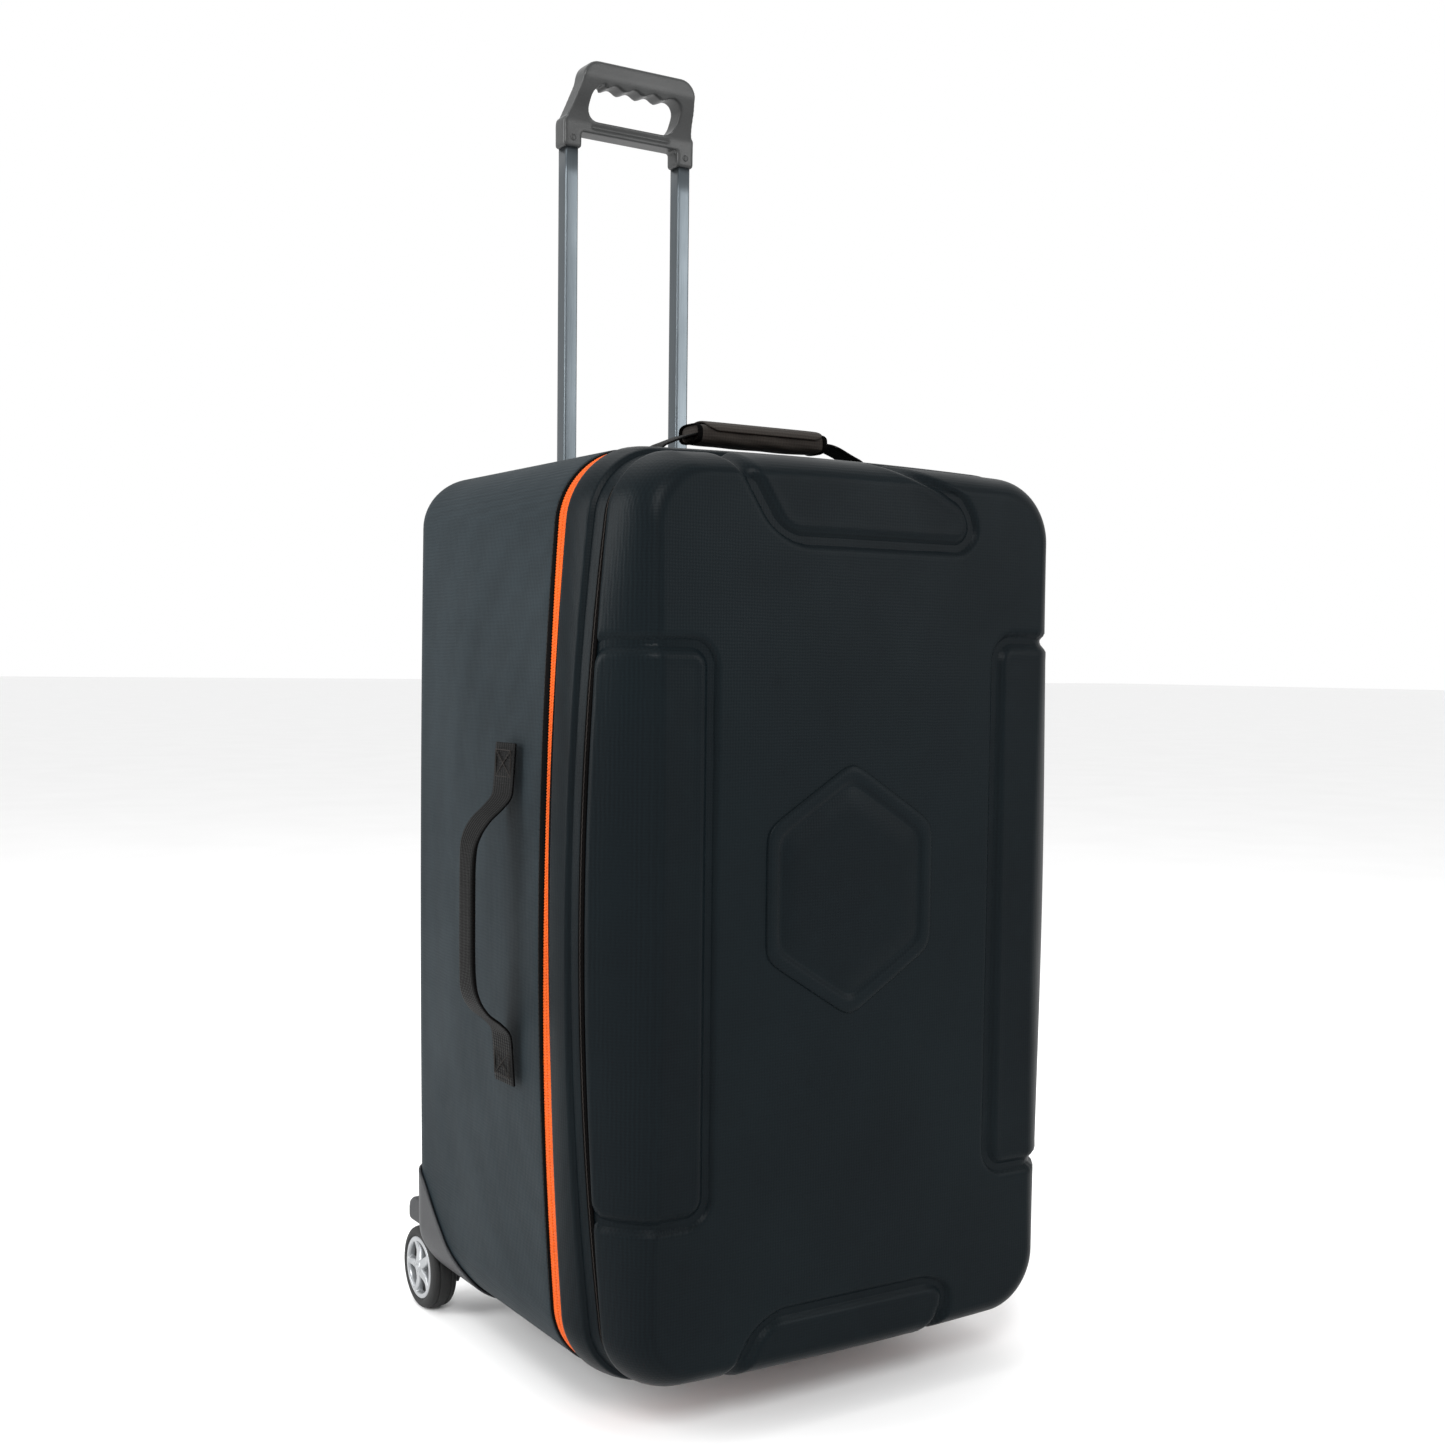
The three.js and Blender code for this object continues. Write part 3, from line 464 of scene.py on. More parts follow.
def rounded_box(low: Sequence[float], high: Sequence[float], radius: float, name: str = "block",
                steps: int = 4) -> bpy.types.Object:
    """A box whose twelve edges are rounded.

    Latitude and longitude walk over a sphere; each point is pushed out to the corner of the
    inner box on its side, so the sphere's quarters land on the box's corners.

    Args:
        low: Lowest corner.
        high: Highest corner.
        radius: Edge radius.
        name: The object's name.
        steps: Steps in each quarter turn.
    Returns:
        The closed box.
    """
    low, high = np.array(low, float), np.array(high, float)
    centre, half = (low + high) / 2, (high - low) / 2
    radius = min(radius, *(half * 0.999))
    quarter = np.linspace(0, math.pi / 2, steps + 1)
    around = np.concatenate([quarter + k * math.pi / 2 for k in range(4)])
    side_x = np.repeat([1, -1, -1, 1], steps + 1)
    side_y = np.repeat([1, 1, -1, -1], steps + 1)
    up = np.concatenate([quarter - math.pi / 2, quarter])
    side_z = np.repeat([-1, 1], steps + 1)
    inner = half - radius
    ring = np.stack([radius * np.cos(up)[:, None] * np.cos(around) + side_x * inner[0],
                     radius * np.cos(up)[:, None] * np.sin(around) + side_y * inner[1],
                     np.broadcast_to((radius * np.sin(up) + side_z * inner[2])[:, None], (len(up), len(around)))],
                    axis=-1)
    poles = [np.broadcast_to([[0, 0, sign * half[2]]], ring[:1].shape) for sign in (-1, 1)]
    return surface(name, np.concatenate([poles[0], ring, poles[1]]) + centre)


def lathe_x(name: str, profile: Sequence[tuple[float, float]], centre: Sequence[float],
            segments: int = 72) -> bpy.types.Object:
    """Turns a profile about a line along X.

    Args:
        name: The piece's name.
        profile: Pairs of radius and x; it starts and ends on the line or closes on itself.
        centre: A point on the line; the profile's x is measured from it.
        segments: Steps round the turn.
    Returns:
        The turned solid.
    """
    radius, x = np.array(profile, float).T
    angle = np.linspace(0, TAU, segments, endpoint=False)
    points = np.stack([np.broadcast_to(x[:, None], (len(x), segments)), radius[:, None] * np.cos(angle),
                       radius[:, None] * np.sin(angle)], axis=-1)
    ring = np.allclose(profile[0], profile[-1]) and radius[0] > 0
    closing = Closing.BOTH if ring else Closing.AROUND
    return surface(name, (points[:-1] if ring else points) + np.array(centre), closing)


def lathe_z(name: str, profile: Sequence[tuple[float, float]], centre: Sequence[float],
            segments: int = 48) -> bpy.types.Object:
    """Turns a profile of radius and height about a vertical line.

    Args:
        name: The piece's name.
        profile: Pairs of radius and height.
        centre: The point under the profile's foot.
        segments: Steps round the turn.
    Returns:
        The turned solid.
    """
    radius, z = np.array(profile, float).T
    angle = np.linspace(0, TAU, segments, endpoint=False)
    points = np.stack([radius[:, None] * np.cos(angle), radius[:, None] * np.sin(angle),
                       np.broadcast_to(z[:, None], (len(z), segments))], axis=-1)
    return surface(name, points + np.array(centre))


def rounded(profile: Sequence[tuple[float, float]], radius: float, steps: int = 4) -> list[tuple[float, float]]:
    """Rounds every inner corner of an open outline with a short curve.

    Each corner is replaced by a parabola that leaves and meets the two straight stretches at
    the same distance from the corner.

    Args:
        profile: Pairs along the outline.
        radius: Reach of each curve along its two stretches.
        steps: Steps in each curve.
    Returns:
        Pairs along the rounded outline.
    """
    points = np.array(profile, float)
    out = [tuple(points[0])]
    for before, corner, after in zip(points[:-2], points[1:-1], points[2:]):
        a, b = before - corner, after - corner
        reach = min(radius, 0.45 * np.linalg.norm(a), 0.45 * np.linalg.norm(b))
        start, end = corner + a / np.linalg.norm(a) * reach, corner + b / np.linalg.norm(b) * reach
        for t in np.linspace(0, 1, steps + 1):
            out.append(tuple((1 - t) ** 2 * start + 2 * t * (1 - t) * corner + t ** 2 * end))
    out.append(tuple(points[-1]))
    return out


def rounded_loop(corners: Sequence[tuple[float, float]], radius: float, steps: int) -> Array:
    """Rounds a closed outline in millimetres; its first and last points are the same, mid-edge."""
    return np.array(rounded(corners, radius, steps)[:-1]) * MM


def prism(outline: Array, span: tuple[float, float], axis: int, slices: int = 3) -> bpy.types.Object:
    """Extrudes a closed outline along an axis.

    Args:
        outline: Rows of the two coordinates that aren't along the axis, in order.
        span: The two ends along the axis, in either order.
        axis: 0 for X or 1 for Y.
        slices: Rings along the prism.
    Returns:
        The closed solid.
    """
    places = np.linspace(*sorted(span), slices)
    return capped("prism", np.stack([np.insert(outline, axis, place, axis=1) for place in places]))


def smooth_path(points: Sequence[Sequence[float]], count: int) -> Array:
    """A smooth open curve through points (Catmull-Rom), at even steps of its length.

    Args:
        points: Points that the curve runs through.
        count: Number of steps.
    Returns:
        Rows of points.
    """
    knots = np.array(points, float)
    ends = np.concatenate([[2 * knots[0] - knots[1]], knots, [2 * knots[-1] - knots[-2]]])
    t = np.linspace(0, 1, 24, endpoint=False)[:, None]
    runs = []
    for a, b, c, d in zip(ends[:-3], ends[1:-2], ends[2:-1], ends[3:]):
        runs.append(0.5 * (2 * b + (c - a) * t + (2 * a - 5 * b + 4 * c - d) * t ** 2
                           + (3 * b - a - 3 * c + d) * t ** 3))
    dense = np.concatenate(runs + [knots[-1:]])
    length = np.concatenate([[0], np.cumsum(np.linalg.norm(np.diff(dense, axis=0), axis=1))])
    even = np.linspace(0, length[-1], count)
    return np.stack([np.interp(even, length, dense[:, axis]) for axis in range(dense.shape[1])], axis=1)


def strip(name: str, path: Array, across: Sequence[float], section: Array) -> bpy.types.Object:
    """Carries a closed section along a path, keeping one direction across it.

    Args:
        name: The piece's name.
        path: Rows of points.
        across: Unit direction of the strip's width.
        section: Rows of (offset across, offset square to the strip), for every point or one
            set per path point.
    Returns:
        The strip with both ends closed.
    """
    tangent = np.gradient(path, axis=0)
    tangent /= np.linalg.norm(tangent, axis=1, keepdims=True)
    width = np.array(across, float)
    normal = np.cross(tangent, width)
    normal /= np.linalg.norm(normal, axis=1, keepdims=True)
    section = np.broadcast_to(section, (len(path),) + section.shape[-2:])
    rows = path[:, None, :] + section[..., :1] * width + section[..., 1:] * normal[:, None, :]
    return capped(name, rows)


def superellipse(count: int, power: float) -> Array:
    """Points round a superellipse of half-width and half-height 1.

    Each coordinate is the circle's, raised to a power with its sign kept: a power of 1 gives
    the circle, and a smaller one gives squarer corners.

    Args:
        count: Number of points.
        power: The power.
    Returns:
        Rows of pairs, counter-clockwise.
    """
    angle = np.linspace(0, TAU, count, endpoint=False)
    circle = np.stack([np.cos(angle), np.sin(angle)], axis=1)
    return np.sign(circle) * np.abs(circle) ** power


def slab_section(half_width: float, half_thick: float, steps: int = 12) -> Array:
    """A flat section with rounded edges: a superellipse of a strip's width and thickness."""
    return superellipse(4 * steps, 0.28) * np.array([half_width, half_thick])


def thread_section(radius: float, count: int) -> Array:
    """The round section of a sewing thread."""
    return radius * superellipse(count, 1.0)


def sewn_box(low: Sequence[float], high: Sequence[float], steps: int) -> tuple[Array, Array]:
    """A box of stitches with a cross in it, sewn in one run.

    Args:
        low: One corner of the box, in its own plane.
        high: The opposite corner.
        steps: Points on each straight run.
    Returns:
        The run's points, and each point's lift above the cloth: a rectified sine.
    """
    a, c = np.array(low), np.array(high)
    b, d = np.array([c[0], a[1]]), np.array([a[0], c[1]])
    corners = [a, b, c, d, a, c, b, d]
    t = np.linspace(0, 1, steps, endpoint=False)[:, None]
    line = np.concatenate([p + (q - p) * t for p, q in zip(corners[:-1], corners[1:])])
    return line, STITCH_LIFT * np.abs(np.sin(np.arange(len(line)) * math.pi / 5))


def ring_frame(outline: Outline, count: int, y: float = 0.0) -> tuple[Array, Array, Array]:
    """Even steps round a case outline, with outward directions.

    Args:
        outline: The section to follow.
        count: Number of steps.
        y: Depth of the ring.
    Returns:
        Points, outward unit vectors, and the running length at each point.
    """
    flat = outline.ring(Sampling(40, 160, 100))
    flat = np.concatenate([flat, flat[:1]])
    length = np.concatenate([[0], np.cumsum(np.linalg.norm(np.diff(flat, axis=0), axis=1))])
    even = np.linspace(0, length[-1], count, endpoint=False)
    x, z = (np.interp(even, length, flat[:, axis]) for axis in (0, 1))
    points = np.stack([x, np.full(count, y), z + CASE.mid_z], axis=1)
    tangent = np.roll(points, -1, axis=0) - np.roll(points, 1, axis=0)
    outward = np.stack([tangent[:, 2], np.zeros(count), -tangent[:, 0]], axis=1)
    outward /= np.linalg.norm(outward, axis=1, keepdims=True)
    return points, outward, even


def carried(run: tuple[Array, Array, Array], profile: Array) -> Array:
    """Places a profile of (y, outward) pairs at every point of a run; one row per point.

    Args:
        run: Points, outward directions and running lengths.
        profile: One profile, or one for each point.
    Returns:
        The grid of points.
    """
    points, outward, _ = run
    profile = np.broadcast_to(profile, (len(points),) + profile.shape[-2:])
    return points[:, None, :] + profile[..., :1] * Y_AXIS + profile[..., 1:] * outward[:, None, :]


def ring_band(name: str, run: tuple[Array, Array, Array], profile: Array) -> bpy.types.Object:
    """Carries a closed profile of (y, outward) pairs round a case outline."""
    return surface(name, carried(run, profile).transpose(1, 0, 2), Closing.BOTH)


# ---------------------------------------------------------------- finishes
def linear(code: str) -> tuple[float, float, float, float]:
    """Turns an sRGB hex value such as 2a2f33 into linear RGBA.

    Args:
        code: Six hex digits.
    Returns:
        Red, green, blue and alpha.
    """
    channels = np.array([int(code[i:i + 2], 16) / 255 for i in (0, 2, 4)])
    low, high = channels / 12.92, ((channels + 0.055) / 1.055) ** 2.4
    return (*np.where(channels <= 0.04045, low, high).tolist(), 1.0)


Link = tuple[bpy.types.Node, str]


def add_node(tree: bpy.types.NodeTree, kind: str, settings: dict | None = None, **inputs: object) -> bpy.types.Node:
    """Adds a shader node, its settings, and its input values or links.

    Args:
        tree: The material's node tree.
        kind: The node type's name without its ShaderNode prefix.
        settings: Attributes of the node itself.
        inputs: Socket values by name or, as in0, by place; a pair of node and output links them.
    Returns:
        The new node.
    """
    made = tree.nodes.new("ShaderNode" + kind)
    for key, value in (settings or {}).items():
        setattr(made, key, value)
    for key, value in inputs.items():
        socket = made.inputs[int(key[2:]) if key[:2] == "in" and key[2:].isdigit() else key.replace("_", " ")]
        if isinstance(value, tuple) and isinstance(value[0], bpy.types.Node):
            tree.links.new(value[0].outputs[value[1]], socket)
        else:
            socket.default_value = value
    return made


class Texture(Enum):
    """How a finish's surface is made."""

    WOVEN = "woven"
    RIBBED = "ribbed"
    MOULDED = "moulded"
    BRUSHED = "brushed"
    KNITTED = "knitted"


@dataclass(frozen=True)
class Finish:
    """One real material: its colours, gloss and the scale of its surface.

    Attributes:
        name: What the material is.
        colour: Its main colour.
        shade: The colour of its random patches of tone and of the hollows of its pattern; in the hollows, where it is
            darker than the main colour, it is painted shade, and on the tyre, where it is lighter, it is dust.
        texture: How its surface is made.
        pitch: Size of its weave, ribs or grain in metres.
        relief: Height of that pattern in metres.
        roughness: Mean roughness; patches vary it by a twentieth either way.
        metallic: 1 for bare metal.
        sheen: Weight of the fuzz's sheen.
        sheen_colour: The sheen's colour.
        coat: Weight of a clear coat.
        specular: Specular level of a finish that isn't metal.
    """

    name: str
    colour: str
    shade: str
    texture: Texture
    pitch: float
    relief: float
    roughness: float
    metallic: float = 0.0
    sheen: float = 0.0
    sheen_colour: str = "ffffff"
    coat: float = 0.0
    specular: float = 0.5

    def material(self) -> bpy.types.Material:
        """Makes the material, or returns the one already made.

        Returns:
            The material.
        """
        known = bpy.data.materials.get(self.name)
        if known:
            return known
        made = bpy.data.materials.new(self.name)
        made.use_nodes = True
        tree = made.node_tree
        shader = tree.nodes["Principled BSDF"]
        coordinate = add_node(tree, "TexCoord")
        place: Link = (coordinate, "Object")
        height = getattr(self, self.texture.value)(tree, coordinate)
        # Broad patches, a hand across, keep a large face from looking painted.
        patches = add_node(tree, "TexNoise", Vector=place, Scale=7.0, Detail=3.0, Roughness=0.55)
        amount = add_node(tree, "MapRange", in0=(patches, "Fac"), in1=0.35, in2=0.7, in3=0.0, in4=0.35)
        # Hollows of the pattern take the second colour: painted shade where that colour is darker, dust on the tyre
        # where it is lighter.
        hollow_shade_and_dust = add_node(tree, "MapRange", in0=height, in1=0.0, in2=1.0, in3=0.65, in4=0.0)
        total = add_node(tree, "Math", {"operation": "ADD", "use_clamp": True}, in0=(amount, 0), in1=(hollow_shade_and_dust, 0))
        tint = add_node(tree, "Mix", {"data_type": "RGBA"}, in0=(total, 0), in6=linear(self.colour),
                        in7=linear(self.shade))
        tree.links.new(tint.outputs[2], shader.inputs["Base Color"])
        gloss = add_node(tree, "MapRange", in0=(patches, "Fac"), in1=0.3, in2=0.7,
                         in3=self.roughness - 0.05, in4=self.roughness + 0.05)
        tree.links.new(gloss.outputs[0], shader.inputs["Roughness"])
        bump = add_node(tree, "Bump", Strength=0.9, Distance=self.relief, Height=height)
        tree.links.new(bump.outputs[0], shader.inputs["Normal"])
        shader.inputs["Metallic"].default_value = self.metallic
        shader.inputs["Sheen Weight"].default_value = self.sheen
        shader.inputs["Sheen Tint"].default_value = linear(self.sheen_colour)
        shader.inputs["Coat Weight"].default_value = self.coat
        if not self.metallic:
            shader.inputs["Specular IOR Level"].default_value = self.specular
        return made

    def waves(self, tree: bpy.types.NodeTree, source: Link, pitches: Sequence[float]) -> Link:
        """Adds up sine waves along the axes, scaled to run from 0 to 1.

        Args:
            tree: The node tree.
            source: Coordinates in metres.
            pitches: Wavelength along each axis, or 0 for none.
        Returns:
            The height's output.
        """
        axes = add_node(tree, "SeparateXYZ", Vector=source)
        total: Link | None = None
        used = [(axis, pitch) for axis, pitch in enumerate(pitches) if pitch]
        for axis, pitch in used:
            turn = add_node(tree, "Math", {"operation": "MULTIPLY"}, in0=(axes, axis), in1=TAU / pitch)
            wave: Link = (add_node(tree, "Math", {"operation": "SINE"}, in0=(turn, 0)), 0)
            total = (add_node(tree, "Math", {"operation": "ADD"}, in0=total, in1=wave), 0) if total else wave
        span = float(len(used))
        return add_node(tree, "MapRange", in0=total, in1=-span, in2=span), 0

    def woven(self, tree: bpy.types.NodeTree, coordinate: bpy.types.Node) -> Link:
        """Threads crossing each other, on whichever two axes lie in the face.

        Args:
            tree: The material's node tree.
            coordinate: The texture coordinate node.
        Returns:
            The height.
        """
        wobble = add_node(tree, "TexNoise", Vector=(coordinate, "Object"), Scale=60.0, Detail=2.0)
        shift = add_node(tree, "VectorMath", {"operation": "MULTIPLY_ADD"}, in0=(wobble, "Color"),
                         in1=(self.pitch,) * 3, in2=(coordinate, "Object"))
        return self.waves(tree, (shift, 0), (self.pitch,) * 3)

    def knitted(self, tree: bpy.types.NodeTree, coordinate: bpy.types.Node) -> Link:
        """A brushed knit: soft loops of one size with no direction."""
        loops = add_node(tree, "TexVoronoi", Vector=(coordinate, "Object"), Scale=1 / self.pitch)
        return add_node(tree, "MapRange", in0=(loops, "Distance"), in1=0.0, in2=0.7), 0

    def ribbed(self, tree: bpy.types.NodeTree, coordinate: bpy.types.Node) -> Link:
        """Webbing: ribs across the strap, with finer threads along it."""
        return self.waves(tree, (coordinate, "UV"), (self.pitch * 1.7, self.pitch, 0))

    def moulded(self, tree: bpy.types.NodeTree, coordinate: bpy.types.Node) -> Link:
        """The fine spark-eroded grain of a moulding tool.

        Args:
            tree: The material's node tree.
            coordinate: The texture coordinate node.
        Returns:
            The height.
        """
        grain = add_node(tree, "TexNoise", Vector=(coordinate, "Object"), Scale=1 / self.pitch, Detail=4.0,
                         Roughness=0.6)
        return add_node(tree, "MapRange", in0=(grain, "Fac"), in1=0.3, in2=0.7), 0

    def brushed(self, tree: bpy.types.NodeTree, coordinate: bpy.types.Node) -> Link:
        """Draw lines along a tube, fine across it and long along it.

        Args:
            tree: The material's node tree.
            coordinate: The texture coordinate node.
        Returns:
            The height.
        """
        stretch = add_node(tree, "Mapping", Vector=(coordinate, "Object"), Scale=(1.0, 1.0, 0.02))
        lines = add_node(tree, "TexNoise", Vector=(stretch, 0), Scale=1 / self.pitch, Detail=3.0)
        return add_node(tree, "MapRange", in0=(lines, "Fac"), in1=0.3, in2=0.7), 0


# Solution-dyed polyester glued over the moulded tray: a grey weave, its threads drawn at twice
# their real 1.5 mm spacing so that they show, with a faint bluish sheen from the side.
SHELL_FABRIC = Finish("woven_polyester_grey", "1d2529", "12181b", Texture.WOVEN, 3.0 * MM, 0.25 * MM, 0.62,
                      sheen=0.01, sheen_colour="b8c8d8", specular=0.07)
# Thermoformed EVA with a stretched knit face: nearly black, smoother, with a broad soft gloss.
LID_FABRIC = Finish("thermoformed_knit_black", "0d1417", "070b0e", Texture.WOVEN, 2.6 * MM, 0.1 * MM, 0.4,
                    specular=0.05)
# Brushed tricot over foam, with loops about 2 mm across.
LINING_FABRIC = Finish("brushed_tricot_charcoal", "2a2c30", "191b1e", Texture.KNITTED, 2.2 * MM, 0.3 * MM, 0.85,
                       sheen=0.03, specular=0.1)
# Fibre board with a matt paper face.
BOARD = Finish("fibre_board_grey", "3a3c3e", "2b2d2f", Texture.MOULDED, 3.0 * MM, 0.1 * MM, 0.8)
# Dyed nylon monofilament, slightly shiny.
ZIP_COIL = Finish("nylon_coil_orange", "cf560a", "96380a", Texture.MOULDED, 1.5 * MM, 0.05 * MM, 0.5, specular=0.1)
# Woven binding tape, nearly black, its ribs drawn every 2 mm.
BINDING = Finish("woven_binding_tape", "080707", "030303", Texture.RIBBED, 2.0 * MM, 0.2 * MM, 0.8, specular=0.02)
# Spun polyester sewing thread.
THREAD = Finish("sewing_thread_grey", "2b2724", "141211", Texture.MOULDED, 0.8 * MM, 0.05 * MM, 0.7, sheen=0.02,
                specular=0.1)
# Heavy nylon webbing, ribbed every 2.5 mm.
WEBBING = Finish("nylon_webbing_black", "090909", "020202", Texture.RIBBED, 2.5 * MM, 0.6 * MM, 0.55, specular=0.07)
# Padded polyester canvas in a warm grey.
WRAP_FABRIC = Finish("polyester_canvas_warm_grey", "312d29", "1d1a18", Texture.WOVEN, 2.8 * MM, 0.3 * MM, 0.75,
                     sheen=0.02, specular=0.1)
# Injection-moulded ABS with a fine spark-eroded grain.
MOULDED = Finish("moulded_abs_dark_grey", "26272a", "1b1c1e", Texture.MOULDED, 1.6 * MM, 0.06 * MM, 0.5, specular=0.25)
# Glass-filled nylon, a little warmer and glossier from handling.
GRIP = Finish("moulded_nylon_warm_grey", "2e2f2f", "222323", Texture.MOULDED, 1.4 * MM, 0.05 * MM, 0.36, specular=0.35)
# Drawn and anodised aluminium in gunmetal.
TUBE_METAL = Finish("anodised_aluminium_gunmetal", "565c60", "4a5054", Texture.BRUSHED, 0.6 * MM, 0.002 * MM, 0.32,
                    metallic=1.0)
# Drawn aluminium with a mill finish.
GUIDE_METAL = Finish("drawn_aluminium", "a4a8ac", "85898e", Texture.BRUSHED, 0.7 * MM, 0.02 * MM, 0.38,
                     metallic=1.0)
# Zinc-plated steel.
STEEL = Finish("zinc_plated_steel", "b2b4b6", "8f9194", Texture.MOULDED, 2.0 * MM, 0.02 * MM, 0.3, metallic=1.0)
# Thermoplastic rubber, dull and dusty on the tread.
TYRE = Finish("thermoplastic_rubber_grey", "1d1e1f", "272726", Texture.MOULDED, 1.2 * MM, 0.08 * MM, 0.72, specular=0.2)
# Silver-painted ABS: a metallic flake under a thin coat.
HUB = Finish("silver_painted_abs", "9a9c9e", "7f8285", Texture.MOULDED, 0.8 * MM, 0.01 * MM, 0.33, metallic=0.7,
             coat=0.3)
# Black lacquered die-cast zinc.
SLIDER_METAL = Finish("lacquered_zinc_black", "1e1f21", "101112", Texture.MOULDED, 1.5 * MM, 0.02 * MM, 0.3,
                      metallic=0.6, coat=0.4)


@dataclass
class Pieces:
    """Dresses each finished piece and ties it to the frame."""

    made: list[str] = field(default_factory=list)

    def add(self, piece: bpy.types.Object, finish: Finish, slot: str, body: str | None,
            replaces: Sequence[str] = ()) -> bpy.types.Object:
        """Gives a piece its finish and body, and hides the CAD nodes it stands for.

        Args:
            piece: The finished object.
            finish: Its material.
            slot: The record's material slot; not used.
            body: The body it rides on, or None to leave it unattached.
            replaces: CAD nodes that it replaces.
        Returns:
            The same piece.
        """
        piece.data.materials.clear()
        piece.data.materials.append(finish.material())
        if body:
            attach(piece, body)
        if replaces:
            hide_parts(*replaces)
        self.made.append(piece.name)
        LOG.info("%s: %d faces, %s", piece.name, len(piece.data.polygons), finish.name)
        return piece

    @staticmethod
    def dress_kept(nodes: Sequence[str], finish: Finish) -> None:
        """Gives CAD nodes that stay a better material in their own slots.

        Args:
            nodes: Names of the CAD nodes.
            finish: Their material.
        """
        for name in nodes:
            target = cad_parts[name]
            for slot in target.material_slots:
                slot.material = finish.material()
            if not target.material_slots:
                target.data.materials.append(finish.material())
            LOG.info("%s: kept, %s", name, finish.name)


SIDES = (("left", -1), ("right", 1))


# ---------------------------------------------------------------- lid
@dataclass(frozen=True)
class Edge:
    """A straight edge of an embossed pad: positive distances lie inside.

    Attributes:
        x: A point on the edge, from the centre plane.
        z: Its height above the floor.
        normal_x: The inward direction across.
        normal_z: The inward direction up.
    """

    x: float
    z: float
    normal_x: float
    normal_z: float

    def distance(self, x: Array, z: Array) -> Array:
        """Distance inside the edge for arrays of points."""
        return (x - self.x) * self.normal_x + (z - self.z) * self.normal_z


